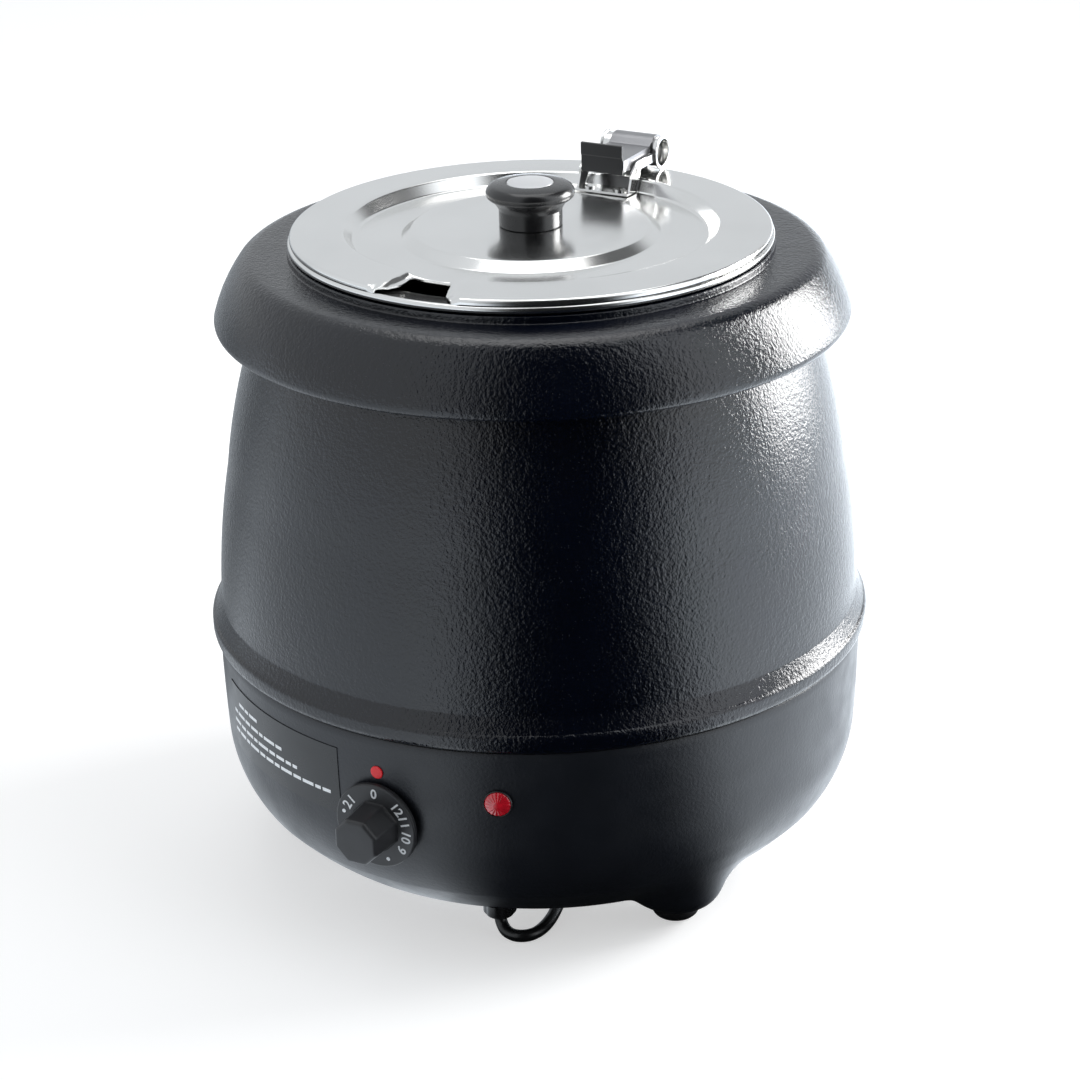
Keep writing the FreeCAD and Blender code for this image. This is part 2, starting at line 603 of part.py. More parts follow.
def make_well():
    """Water well, its gasket and the rods that tie well, collar and casing together."""
    outline = [
        ("0", "well_floor"),
        ("well_radius - well_bend", "well_floor", "well_bend", LEFT),
        ("well_radius", "well_floor + well_bend"),
        ("well_radius", "well_flange_height"),
        ("well_flange_radius", "well_flange_height"),
    ]
    tank = spun_sheet("well_tank", outline, "well_skin")
    bores = [cylinder("flange_bore", "tie_bore", "well_skin * 4", x, y,
                      "well_flange_height - well_skin * 2") for x, y in TIES]
    node(cut("well_cut", tank, group("flange_bores", bores)), "water_well")
    lathe("collar_gasket", [
        ("gasket_inner_radius", "gasket_low"),
        ("rib_outer_radius", "gasket_low"),
        ("rib_outer_radius", "rib_low"),
        ("gasket_inner_radius", "rib_low"),
    ])
    rods = [cylinder("tie_rod", "tie_radius", "tie_high - tie_low", x, y, "tie_low")
            for x, y in TIES]
    node(group("tie_rod_group", rods), "tie_rods")
    nuts = []
    for x, y in TIES:
        for low in ("base_floor_height - tie_nut_height",
                    "well_flange_height - well_skin - tie_nut_height"):
            blank = hexagon("tie_nut_blank", "tie_nut_radius", "tie_nut_height", x, y, low)
            bore = cylinder("tie_nut_bore", "tie_radius + gap / 2", "tie_nut_height", x, y, low)
            nuts.append(cut("tie_nut", blank, bore))
    node(group("tie_nut_group", nuts), "tie_rod_nuts")


# ---------------------------------------------------------------- heating stack

def make_heating():
    """Spreader, element, clamp, heat shield, studs, nuts and cut-out under the well."""
    spreader_low = "well_floor - spreader_thick"
    node(cylinder("spreader", "spreader_radius", "spreader_thick", z=spreader_low),
         "spreader_plate")
    ring = doc.addObject("Part::Torus", "element_ring")
    bind(ring, Radius1="element_circle", Radius2="element_radius")
    element_height = spreader_low + " - element_radius"
    put(ring, z=element_height)
    tails = []
    for side in ("-", "+"):
        tails.append(cylinder("element_tail", "element_radius", "element_tail",
                              side + "element_gap / 2", "-element_circle",
                              element_height + " - element_tail"))
    node(join("element", [ring] + tails), "heating_element")
    clamp_low = spreader_low + " - element_radius * 2 - clamp_thick"
    disc = cylinder("clamp_disc", "clamp_outer", "clamp_thick", z=clamp_low)
    openings = [cylinder("clamp_centre", "clamp_inner", "clamp_thick", z=clamp_low)]
    for side in ("-", "+"):
        openings.append(cylinder("clamp_gap", "clamp_hole", "clamp_thick",
                                 side + "element_gap / 2", "-element_circle", clamp_low))
    openings += [cylinder("clamp_stud_gap", "stud_bore", "clamp_thick", x, y, clamp_low)
                 for x, y in STUDS]
    node(cut("clamp", disc, group("clamp_openings", openings)), "element_clamp")
    shield = cylinder("shield_disc", "shield_radius", "shield_thick", z="shield_height")
    gaps = [cylinder("shield_gap", "stud_bore", "shield_thick", x, y, "shield_height")
            for x, y in STUDS]
    gaps.append(box("shield_slot", "element_gap * 2", "clamp_hole * 3", "shield_thick",
                    "-element_gap", "-element_circle - clamp_hole * 1.5", "shield_height"))
    node(cut("shield", shield, group("shield_gaps", gaps)), "heat_shield")
    studs = [cylinder("well_stud", "stud_radius", spreader_low + " - stud_low", x, y, "stud_low")
             for x, y in STUDS]
    node(group("stud_group", studs), "well_studs")
    nuts = []
    for x, y in STUDS:
        for low in (clamp_low + " - stud_nut_height", "shield_height - stud_nut_height"):
            blank = hexagon("stud_nut_blank", "stud_nut_radius", "stud_nut_height", x, y, low)
            bore = cylinder("stud_nut_bore", "stud_radius + gap / 2", "stud_nut_height",
                            x, y, low)
            nuts.append(cut("stud_nut", blank, bore))
    node(group("stud_nut_group", nuts), "well_stud_nuts")
    drum_low = spreader_low + " - cutout_height"
    drum = cylinder("cutout_drum", "cutout_radius", "cutout_height", z=drum_low)
    flange = cylinder("cutout_flange", "cutout_flange_radius", "cutout_flange_thick",
                      z=spreader_low + " - cutout_flange_thick")
    tab = box("cutout_tabs", "cutout_radius * 3", "cutout_tab_width", "cutout_flange_thick",
              "-cutout_radius * 1.5", "-cutout_tab_width / 2", drum_low)
    node(join("cutout", [drum, flange, tab]), "thermal_cutout")


# ---------------------------------------------------------------- controls

def wall_rod(name, radius, azimuth, height):
    """A bar that runs out through the wall at an azimuth, for cutting it."""
    bar = cylinder(name, radius, "base_rim_radius / 4")
    inner = "(base_rim_radius * 7 / 8)"
    bar.Placement = FreeCAD.Placement(V(0, 0, 0), facing_out(size(azimuth)))
    return put(bar, inner + " * sin(" + azimuth + ")", "-" + inner + " * cos(" + azimuth + ")",
               height)


def put_across(thing, x):
    """Shift a bar sideways."""
    thing.setExpression("Placement.Base.x", formula(x))
    return thing


def on_wall(thing, azimuth, height, offset="0"):
    """Stand a turned piece on the wall, its own Z pointing out from the kettle's axis."""
    thing.Placement = FreeCAD.Placement(V(0, 0, 0), facing_out(size(azimuth)))
    return put(thing, "(" + offset + ") * sin(" + azimuth + ")",
               "-(" + offset + ") * cos(" + azimuth + ")", height)


def make_thermostat():
    """Thermostat block with its bushing, the turning shaft and the two panel screws."""
    block = box("thermostat_block", "thermostat_width", "thermostat_depth", "thermostat_tall",
                "-thermostat_width / 2", "-thermostat_front",
                "dial_height - thermostat_tall / 2")
    bushing = on_wall(cylinder("bushing", "bushing_radius", "bushing_end - thermostat_front"),
                      "0", "dial_height", "thermostat_front")
    solid = join("thermostat_solid", [block, bushing])
    bores = [on_wall(cylinder("shaft_bore", "shaft_bore",
                              "bushing_end - shaft_back + gap * 3"),
                     "0", "dial_height", "shaft_back - gap * 2")]
    screws = []
    for side in ("-", "+"):
        x = side + "dial_screw_spacing / 2"
        bore = on_wall(cylinder("panel_screw_bore", "small_screw_bore",
                                "thermostat_front - dial_screw_back + gap"),
                       "0", "dial_height", "dial_screw_back")
        bores.append(put_across(bore, x))
        shank = on_wall(cylinder("panel_screw_shank", "small_screw_radius",
                                 "dial_screw_head_top - dial_screw_back - gap * 2"),
                        "0", "dial_height", "dial_screw_back + gap")
        head = on_wall(cylinder("panel_screw_head", "small_head_radius", "small_head_height"),
                       "0", "dial_height", "dial_screw_head_top - small_head_height")
        screws.append(join("panel_screw", [put_across(shank, x), put_across(head, x)]))
    node(cut("thermostat_cut", solid, group("thermostat_bores", bores)), "thermostat_body")
    node(group("panel_screw_group", screws), "thermostat_screws")
    node(on_wall(cylinder("shaft", "shaft_radius", "shaft_end - shaft_back"), "0",
                 "dial_height", "shaft_back"), "thermostat_shaft")


def make_bulb():
    """Sensor bulb on the well, the strap that holds it, and its capillary."""
    bulb_out = "(well_radius + bulb_radius + bulb_gap)"
    node(cylinder("bulb", "bulb_radius", "bulb_high - bulb_low", "0", "-" + bulb_out,
                  "bulb_low"), "sensor_bulb")
    strap_out = bulb_out + " + bulb_radius + bulb_gap + bulb_clip_thick"
    strap = box("strap_block", "bulb_clip_half * 2", "bulb_clip_thick + bulb_radius",
                "bulb_clip_tall", "-bulb_clip_half", "-(" + strap_out + ")",
                "bulb_clip_height")
    room = cylinder("strap_room", "bulb_radius + bulb_gap", "bulb_clip_tall", "0",
                    "-" + bulb_out, "bulb_clip_height")
    node(cut("strap", strap, room), "bulb_clip")
    body = doc.addObject("PartDesign::Body", "capillary")
    path = body_sketch(body, "capillary_path", "YZ_Plane")
    start = "-capillary_start"
    bend = "capillary_bend"
    draw(path, [
        (start, "dial_height + thermostat_tall / 2"),
        (start, "capillary_top - " + bend, bend, RIGHT),
        (start + " + " + bend, "capillary_top"),
        ("-" + bulb_out + " - " + bend, "capillary_top", bend, RIGHT),
        ("-" + bulb_out, "capillary_top - " + bend),
        ("-" + bulb_out, "bulb_high"),
    ], closed=False)
    section = body_sketch(body, "capillary_section", "XY_Plane",
                          "dial_height + thermostat_tall / 2")
    circle = section.addGeometry(Part.Circle(V(0, size(start), 0), UP,
                                             size("capillary_radius")))
    bound = section.addConstraint(
        Sketcher.Constraint("Radius", circle, size("capillary_radius")))
    section.setExpression("Constraints[%d]" % bound, formula("capillary_radius"))
    hold_point(section, circle, 3, "0", start)
    pipe = body.newObject("PartDesign::AdditivePipe", "capillary_pipe")
    pipe.Profile = section
    pipe.Spine = path
    node(body, "capillary")


def make_dial():
    """Skirted dial: a thin disc with a faceted grip, bored for the shaft."""
    body = doc.addObject("PartDesign::Body", "control_knob")
    revolve(body, "skirt", [
        ("0", "0"),
        ("dial_skirt_radius", "0"),
        ("dial_skirt_radius", "dial_skirt_thick - dial_rim"),
        ("dial_skirt_radius - dial_rim", "dial_skirt_thick"),
        ("0", "dial_skirt_thick"),
    ])
    half = "dial_grip_across / 2"
    flat = half + " * tan(22.5)"
    grip = pad(body, "grip", [
        (half, "-" + flat), (half, flat), (flat, half), ("-" + flat, half),
        ("-" + half, flat), ("-" + half, "-" + flat), ("-" + flat, "-" + half),
        (flat, "-" + half),
    ], "dial_skirt_thick + dial_grip_length")
    bind(grip, TaperAngle="-dial_grip_taper")
    doc.recompute()
    top = size("dial_skirt_thick + dial_grip_length")
    crown = ["Edge%d" % number for number, edge in enumerate(grip.Shape.Edges, start=1)
             if edge.BoundBox.ZMin > top - size("gap")]
    edge = body.newObject("PartDesign::Chamfer", "grip_edge")
    edge.Base = (grip, crown)
    bind(edge, Size="dial_grip_edge")
    revolve(body, "bore", [
        ("0", "-gap"), ("dial_bore", "-gap"), ("dial_bore", "dial_bore_depth"),
        ("0", "dial_bore_depth"),
    ], kind="PartDesign::Groove")
    on_wall(body, "0", "dial_height", "dial_back")
    node(body, "control_knob")


def make_marks():
    """Red setting dot, power lamp and the blank notice plate."""
    node(on_wall(cylinder("dot", "dot_radius", "dot_thick"), "0", "dot_height", "dot_back"),
         "reference_dot")
    bezel = lathe("indicator_bezel", [
        ("lamp_bezel_bore", "0"), ("lamp_bezel_radius", "0"),
        ("lamp_bezel_radius", "lamp_bezel_thick / 2"),
        ("lamp_bezel_radius - lamp_bezel_thick / 2", "lamp_bezel_thick"),
        ("lamp_bezel_bore", "lamp_bezel_thick"),
    ])
    on_wall(bezel, "lamp_azimuth", "lamp_height", "lamp_bezel_back")
    dome_bend = "(lamp_lens_radius ^ 2 + lamp_lens_dome ^ 2) / (2 * lamp_lens_dome)"
    lens = lathe("indicator_lens", [
        ("0", "0"), ("lamp_lens_radius", "0"),
        ("lamp_lens_radius", "lamp_bezel_thick", dome_bend, LEFT),
        ("0", "lamp_bezel_thick + lamp_lens_dome"),
    ])
    on_wall(lens, "lamp_azimuth", "lamp_height", "lamp_bezel_back")
    drum = on_wall(cylinder("lamp_drum", "lamp_body_radius", "lamp_body_depth"),
                   "lamp_azimuth", "lamp_height", "lamp_bezel_back - lamp_body_depth")
    tab = on_wall(cylinder("lamp_tail", "lamp_tab_radius * 2",
                           "lamp_body_depth + lamp_tab_length"),
                  "lamp_azimuth", "lamp_height",
                  "lamp_bezel_back - lamp_body_depth - lamp_tab_length")
    node(join("lamp_solid", [drum, tab]), "indicator_body")
    nut = lathe("indicator_nut", [
        ("lamp_body_radius + gap / 2", "0"), ("lamp_nut_radius", "0"),
        ("lamp_nut_radius", "lamp_nut_thick"), ("lamp_body_radius + gap / 2", "lamp_nut_thick"),
    ])
    on_wall(nut, "lamp_azimuth", "lamp_height", "lamp_nut_front - lamp_nut_thick")
    body = doc.addObject("PartDesign::Body", "info_label")
    plate = revolve(body, "plate", [
        ("label_low_radius", "label_low"),
        ("label_low_radius + label_thick", "label_low", "wall_bend", LEFT),
        ("label_high_radius + label_thick", "label_high"),
        ("label_high_radius", "label_high", "wall_bend", RIGHT),
    ])
    bind(plate, Angle="label_span")
    body.Placement = FreeCAD.Placement(V(0, 0, 0),
                                       FreeCAD.Rotation(UP, size("label_start") - 90))
    node(body, "info_label")


def make_wiring():
    """Terminal block, earth stud and the leads between them and the fittings."""
    block = box("block", "block_width", "block_depth", "block_tall", "-block_width / 2",
                "-block_back - block_depth", "base_floor_height + base_skin")
    node(block, "terminal_block")
    top = "base_floor_height + base_skin + block_tall"
    screws = []
    leads = []
    targets = [("element_gap / 2", "-element_circle"), ("-element_gap / 2", "-element_circle")]
    for index in range(int(size("block_ways"))):
        x = "(%d) * block_pitch" % (index - 1)
        screws.append(cylinder("block_screw", "block_screw_radius", "block_screw_high", x,
                               "-block_back - block_depth / 2", top))
    node(group("block_screw_group", screws), "terminal_screws")
    tail_low = "well_floor - spreader_thick - element_radius - element_tail"
    wire_level = "base_floor_height + base_skin + wire_rise"
    for index, (x, y) in enumerate(targets):
        points = [V(size(x), -size("block_back"), size(wire_level) - index),
                  V(size(x), size(y) - size("wire_bend") / 2, size(wire_level) - index),
                  V(size(x), size(y), size(tail_low))]
        leads.append(bent_bar(points, size("wire_radius"), [size("wire_bend") / 4]))
    wires = doc.addObject("Part::Feature", "leads")
    wires.Shape = Part.makeCompound(leads)
    node(wires, "wiring")
    turn = "(earth_azimuth)"
    x = "earth_circle * sin" + turn
    y = "-earth_circle * cos" + turn
    floor = "base_floor_height + base_skin"
    stud = cylinder("earth_rod", "earth_radius", "earth_high - base_floor_height - base_skin",
                    x, y, floor)
    nut = hexagon("earth_nut", "earth_nut_radius", "earth_nut_high", x, y, floor)
    node(join("earth", [stud, nut]), "earth_stud")


# ---------------------------------------------------------------- cord

def bent_bar(points, radius, bends):
    """Round bar along straight runs joined by tangent arcs of the given radii."""
    edges = []
    start = points[0]
    for before, corner, after, bend in zip(points, points[1:], points[2:], bends):
        back = (before - corner).normalize()
        ahead = (after - corner).normalize()
        half_turn = (math.pi - back.getAngle(ahead)) / 2
        reach = bend * math.tan(half_turn)
        first = corner + back * reach
        last = corner + ahead * reach
        middle_way = (back + ahead).normalize()
        middle = corner + middle_way * (bend / math.cos(half_turn) - bend)
        edges.append(Part.LineSegment(start, first).toShape())
        edges.append(Part.Arc(first, middle, last).toShape())
        start = last
    edges.append(Part.LineSegment(start, points[-1]).toShape())
    path = Part.Wire(edges)
    heading = points[1] - points[0]
    ring = Part.Wire([Part.Circle(points[0], heading, radius).toShape()])
    bar = path.makePipeShell([ring], True, True)
    expected = math.pi * radius * radius * path.Length
    if abs(bar.Volume / expected - 1) > 0.01:
        raise RuntimeError("a bent bar's volume does not match its length")
    return bar


def route_bends(points):
    """The largest arc that each corner of a route has room for."""
    bends = []
    for before, corner, after in zip(points, points[1:], points[2:]):
        shorter = min((before - corner).Length, (after - corner).Length)
        half_turn = (math.pi - (before - corner).getAngle(after - corner)) / 2
        bends.append(0.45 * shorter / math.tan(half_turn))
    return bends


CORD_ROUTE = [
    (37.6, -117.2, 12.3), (37.6, -117.2, 8.5), (39.3, -118.3, 5.1), (42.7, -120.3, 3.15),
    (48.6, -121.9, 3.15), (54.2, -119.0, 3.15), (57.2, -112.6, 3.15), (57.2, -101.0, 3.15),
    (53.6, -85.0, 3.15), (46.0, -62.0, 3.15), (32.0, -30.0, 3.15), (6.0, 2.0, 3.15),
    (-30.0, 30.0, 3.15), (-62.0, 64.0, 3.15), (-88.0, 102.0, 3.15), (-116.0, 136.0, 3.15),
    (-136.0, 166.0, 3.15),
]
TAIL_ROUTE = [
    (-106.0, 232.5, 15.7), (-95.0, 232.9, 14.7), (-81.0, 232.4, 10.1), (-62.0, 232.4, 10.1),
]


def make_cord():
    """Gland, the cord's free stretches, its coil and its plug."""
    gland = lathe("cord_gland", [
        ("0", "gland_stop"), ("gland_bore", "gland_stop"), ("gland_bore", "gland_mouth_height"),
        ("gland_mouth_radius", "gland_mouth_height", "gland_dome_bend", LEFT),
        ("gland_flange_radius", "gland_edge"), ("gland_flange_radius", "base_floor_height - gap"),
        ("gland_neck_radius", "base_floor_height - gap"), ("gland_neck_radius", "gland_top"),
        ("0", "gland_top"),
    ])
    put(gland, "gland_across", "gland_out")
    nut = lathe("gland_nut", [
        ("gland_neck_radius + gap", "base_floor_height + base_skin"),
        ("gland_nut_radius", "base_floor_height + base_skin"),
        ("gland_nut_radius", "base_floor_height + base_skin + gland_nut_high"),
        ("gland_neck_radius + gap", "base_floor_height + base_skin + gland_nut_high"),
    ])
    put(nut, "gland_across", "gland_out")
    tubes = []
    for name, route in (("supply stretch", CORD_ROUTE), ("plug stretch", TAIL_ROUTE)):
        points = [V(*point) for point in route]
        bends = route_bends(points)
        print(name, "arc radii", [round(bend, 1) for bend in bends])
        tubes.append(bent_bar(points, size("cord_radius"), bends))
        print(name, "length", round(sum((b - a).Length for a, b in zip(points, points[1:]))),
              "volume by length", round(tubes[-1].Volume / (math.pi * size("cord_radius") ** 2)))
    cord = doc.addObject("Part::Feature", "cord")
    cord.Shape = Part.makeCompound(tubes)
    node(cord, "supply_cord")
    coil = lathe("cord_coil", [
        ("coil_inner", "gap / 2"), ("coil_outer", "gap / 2"), ("coil_outer", "coil_step"),
        ("coil_crown_outer", "coil_top"), ("coil_crown_inner", "coil_top"),
        ("coil_inner", "coil_step"),
    ])
    put(coil, "coil_x", "coil_y")
    shell = box("plug_block", "plug_length", "plug_width", "plug_tall", "plug_x",
                "plug_y - plug_width / 2", "gap / 2")
    relief = doc.addObject("Part::Cone", "plug_relief")
    bind(relief, Radius1="relief_tip", Radius2="relief_radius", Height="relief_length")
    put(relief, "plug_x - relief_length", "plug_y", "plug_axis_height", V(0, 1, 0), 90)
    node(join("plug_solid", [shell, relief]), "plug_body")
    front = "plug_x + plug_length"
    pins = []
    for side in ("-", "+"):
        pins.append(box("blade", "blade_length", "blade_thick", "blade_wide", front,
                        "plug_y " + side + " blade_spacing / 2 - blade_thick / 2",
                        "plug_axis_height + blade_rise - blade_wide / 2"))
    pins.append(put(cylinder("earth_pin", "earth_pin_radius", "earth_pin_length"), front,
                    "plug_y", "plug_axis_height - earth_pin_drop", V(0, 1, 0), 90))
    node(group("plug_pin_group", pins), "plug_pins")


# ---------------------------------------------------------------- pot and lid

def make_pot():
    """Lift-out pot: drawn wall with a flared flange and a rolled rim."""
    outline = [
        ("0", "pot_floor"),
        ("pot_radius - pot_bend", "pot_floor", "pot_bend", LEFT),
        ("pot_radius", "pot_floor + pot_bend"),
        ("pot_radius", "pot_neck_height"),
        ("pot_flare_radius", "pot_flare_height"),
        ("pot_flange_radius", "pot_flange_height"),
    ]
    wall = spun_sheet("pot_wall", outline, "pot_skin")
    rim = doc.addObject("Part::Torus", "pot_rim")
    bind(rim, Radius1="rim_circle", Radius2="rim_radius")
    put(rim, z="rim_height")
    node(join("pot", [wall, rim]), "inner_pot")


def make_lid():
    """Pressed lid with a ladle notch at the front and a slot for the hinge clip."""
    outline = [
        ("0", "lid_crown"),
        ("lid_flat_radius", "lid_crown"),
        ("lid_plateau_radius", "lid_plateau"),
        ("lid_slope_radius", "lid_recess"),
        ("lid_well_radius", "lid_well"),
        ("lid_brim_inner", "lid_brim_high"),
        ("lid_brim_outer", "lid_brim_low", "lid_edge_bend", RIGHT),
        ("lid_radius", "lid_edge"),
        ("lid_radius", "lid_hem"),
    ]
    panel = spun_sheet("lid_panel", outline, "-lid_skin")
    notch = doc.addObject("PartDesign::Body", "notch_tool")
    pad(notch, "notch", [
        ("notch_left", "notch_inner"), ("notch_flare_left", "notch_flare"),
        ("notch_flare_left", "notch_outer"), ("notch_flare_right", "notch_outer"),
        ("notch_flare_right", "notch_flare"), ("notch_right", "notch_inner"),
    ], "notch_deep", "XY_Plane", "notch_low")
    slot = box("hinge_slot", "hinge_slot_half * 2", "lid_radius - hinge_slot_front + gap",
               "notch_deep", "-hinge_slot_half", "hinge_slot_front", "notch_low")
    bores = [cylinder("knob_screw_bore", "lid_screw_bore", "notch_deep", z="notch_low")]
    for side in ("-", "+"):
        bores.append(cylinder("rivet_bore", "rivet_bore", "notch_deep",
                              side + "rivet_spacing / 2", "rivet_y", "notch_low"))
    node(cut("lid_cut", panel, group("lid_openings", [notch, slot] + bores)), "lid")


def make_lid_knob():
    """Mushroom knob with an inlaid disc, held by a screw and washer from below."""
    lathe("lid_knob", [
        ("knob_bore", "knob_base"), ("knob_neck_radius", "knob_base"),
        ("knob_neck_radius", "knob_neck_high"), ("knob_head_radius", "knob_head_low"),
        ("knob_head_radius", "knob_head_high", "knob_head_bend", LEFT),
        ("knob_shoulder_radius", "knob_shoulder"), ("knob_disc_radius", "knob_top"),
        ("knob_disc_radius", "knob_top - knob_disc_depth"), ("0", "knob_top - knob_disc_depth"),
        ("0", "knob_bore_top"), ("knob_bore", "knob_bore_top"),
    ])
    lathe("lid_knob_cap", [
        ("0", "knob_top - knob_disc_depth"),
        ("knob_disc_radius - gap", "knob_top - knob_disc_depth"),
        ("knob_disc_radius - gap", "knob_top"), ("0", "knob_disc_crown"),
    ])
    washer_low = "lid_plateau - lid_skin - knob_washer_thick"
    lathe("lid_knob_washer", [
        ("lid_screw_bore", washer_low), ("knob_washer_radius", washer_low),
        ("knob_washer_radius", washer_low + " + knob_washer_thick"),
        ("lid_screw_bore", washer_low + " + knob_washer_thick"),
    ])
    lathe("lid_knob_screw", [
        ("0", washer_low + " - knob_screw_head_high"),
        ("knob_screw_head", washer_low + " - knob_screw_head_high"),
        ("knob_screw_head", washer_low), ("knob_screw_radius", washer_low),
        ("knob_screw_radius", "knob_screw_top"), ("0", "knob_screw_top"),
    ])


def across_pin(label, corners):
    """A turned piece whose axis is the hinge pin; its outline is (radius, place along X)."""
    body = lathe(label, corners)
    body.Placement = FreeCAD.Placement(V(0, 0, 0), FreeCAD.Rotation(V(0, 1, 0), 90))
    return put(body, "0", "pin_y", "pin_z")


def side_plate(name, corners, low, high):
    """A plate cut to an outline in Y and Z, between two places along X."""
    body = doc.addObject("PartDesign::Body", name)
    pad(body, name + "_pad", corners, "(" + high + ") - (" + low + ")", "YZ_Plane", low)
    return body


def make_bracket():
    """Bracket riveted to the lid, the barrel its ears carry, the pin and the rivets."""
    ear = [
        ("ear_toe_front", "bracket_floor"), ("ear_toe_back", "bracket_floor"),
        ("ear_back", "ear_knee"), ("ear_back", "ear_arm_low"),
        ("pin_y - barrel_radius / 2", "ear_arm_low"),
        ("pin_y - barrel_radius / 2", "ear_arm_high"),
        ("ear_shoulder", "ear_arm_high"), ("ear_front", "ear_arm_low"),
        ("ear_front", "ear_knee"),
    ]
    ears = [side_plate("right_ear", ear, "bracket_half - bracket_skin", "bracket_half"),
            side_plate("left_ear", ear, "-bracket_half", "-bracket_half + bracket_skin")]
    base = box("bracket_base", "bracket_half * 2", "bracket_back - bracket_front",
               "bracket_skin", "-bracket_half", "bracket_front", "bracket_floor")
    solid = join("bracket_solid", ears + [base])
    tools = [put(cylinder("barrel_room", "barrel_radius", "bracket_half * 2 + gap"),
                 "-bracket_half - gap / 2", "pin_y", "pin_z", V(0, 1, 0), 90)]
    for side in ("-", "+"):
        tools.append(cylinder("bracket_bore", "rivet_bore", "bracket_skin",
                              side + "rivet_spacing / 2", "rivet_y", "bracket_floor"))
    tools.append(box("ear_slot", "bracket_half * 2 + gap", "ear_slot_radius * 2",
                     "ear_slot_high - ear_slot_low", "-bracket_half - gap / 2",
                     "ear_slot_y - ear_slot_radius", "ear_slot_low"))
    node(cut("bracket_cut", solid, group("bracket_openings", tools)), "hinge_bracket")
    rivets = []
    for side in ("-", "+"):
        x = side + "rivet_spacing / 2"
        shank = cylinder("rivet_shank", "rivet_radius",
                         "bracket_skin + lid_skin + rivet_head_high * 2 + gap * 2", x,
                         "rivet_y", "bracket_floor - lid_skin - rivet_head_high - gap * 5")
        head = cylinder("rivet_head", "rivet_head_radius", "rivet_head_high", x, "rivet_y",
                        "bracket_floor + bracket_skin")
        rivets.append(join("rivet", [shank, head]))
    node(group("rivet_group", rivets), "bracket_rivets")
    for label, side in (("left_hinge_barrel", "-"), ("right_hinge_barrel", "")):
        across_pin(label, [
            ("pin_fit", side + "barrel_inner_end"), ("barrel_radius", side + "barrel_inner_end"),
            ("barrel_radius", side + "barrel_flange_start"),
            ("barrel_flange", side + "barrel_flange_start"),
            ("barrel_flange", side + "barrel_end"), ("barrel_bore", side + "barrel_end"),
            ("barrel_bore", side + "barrel_web_end"), ("pin_fit", side + "barrel_web_end"),
        ])
    across_pin("hinge_pin", [
        ("0", "-pin_half"), ("pin_head_radius", "-pin_half"),
        ("pin_head_radius", "-pin_half + pin_head_thick"),
        ("pin_radius", "-pin_half + pin_head_thick"),
        ("pin_radius", "pin_half - pin_head_thick"),
        ("pin_head_radius", "pin_half - pin_head_thick"),
        ("pin_head_radius", "pin_half"), ("0", "pin_half"),
    ])


def make_pot_clip():
    """Clip that hooks over the pot's rim and carries the middle knuckle of the hinge."""
    knuckle = put(cylinder("clip_knuckle", "clip_radius", "clip_half * 2"), "-clip_half",
                  "pin_y", "pin_z", V(0, 1, 0), 90)
    web = side_plate("clip_web", [
        ("clip_web_front", "clip_saddle_low"), ("clip_leg_inner", "clip_saddle_low"),
        ("clip_leg_inner", "clip_leg_low"), ("clip_leg_outer", "clip_leg_low"),
        ("clip_leg_outer", "pin_z - clip_radius / 2"), ("clip_web_front", "pin_z - clip_radius / 2"),
    ], "-clip_half", "clip_half")
    tongue = side_plate("clip_tongue", [
        ("clip_tongue_front", "clip_tongue_low"), ("clip_tongue_root", "clip_saddle_low"),
        ("clip_tongue_root", "clip_saddle_high"),
        ("clip_tongue_heel", "clip_saddle_high - gap"),
        ("clip_tongue_front", "clip_tongue_high"),
    ], "-clip_half", "clip_half")
    solid = join("clip_solid", [knuckle, web, tongue])
    bore = put(cylinder("clip_bore", "pin_run", "clip_half * 2 + gap"),
               "-clip_half - gap / 2", "pin_y", "pin_z", V(0, 1, 0), 90)
    node(cut("clip_cut", solid, bore), "pot_clip")


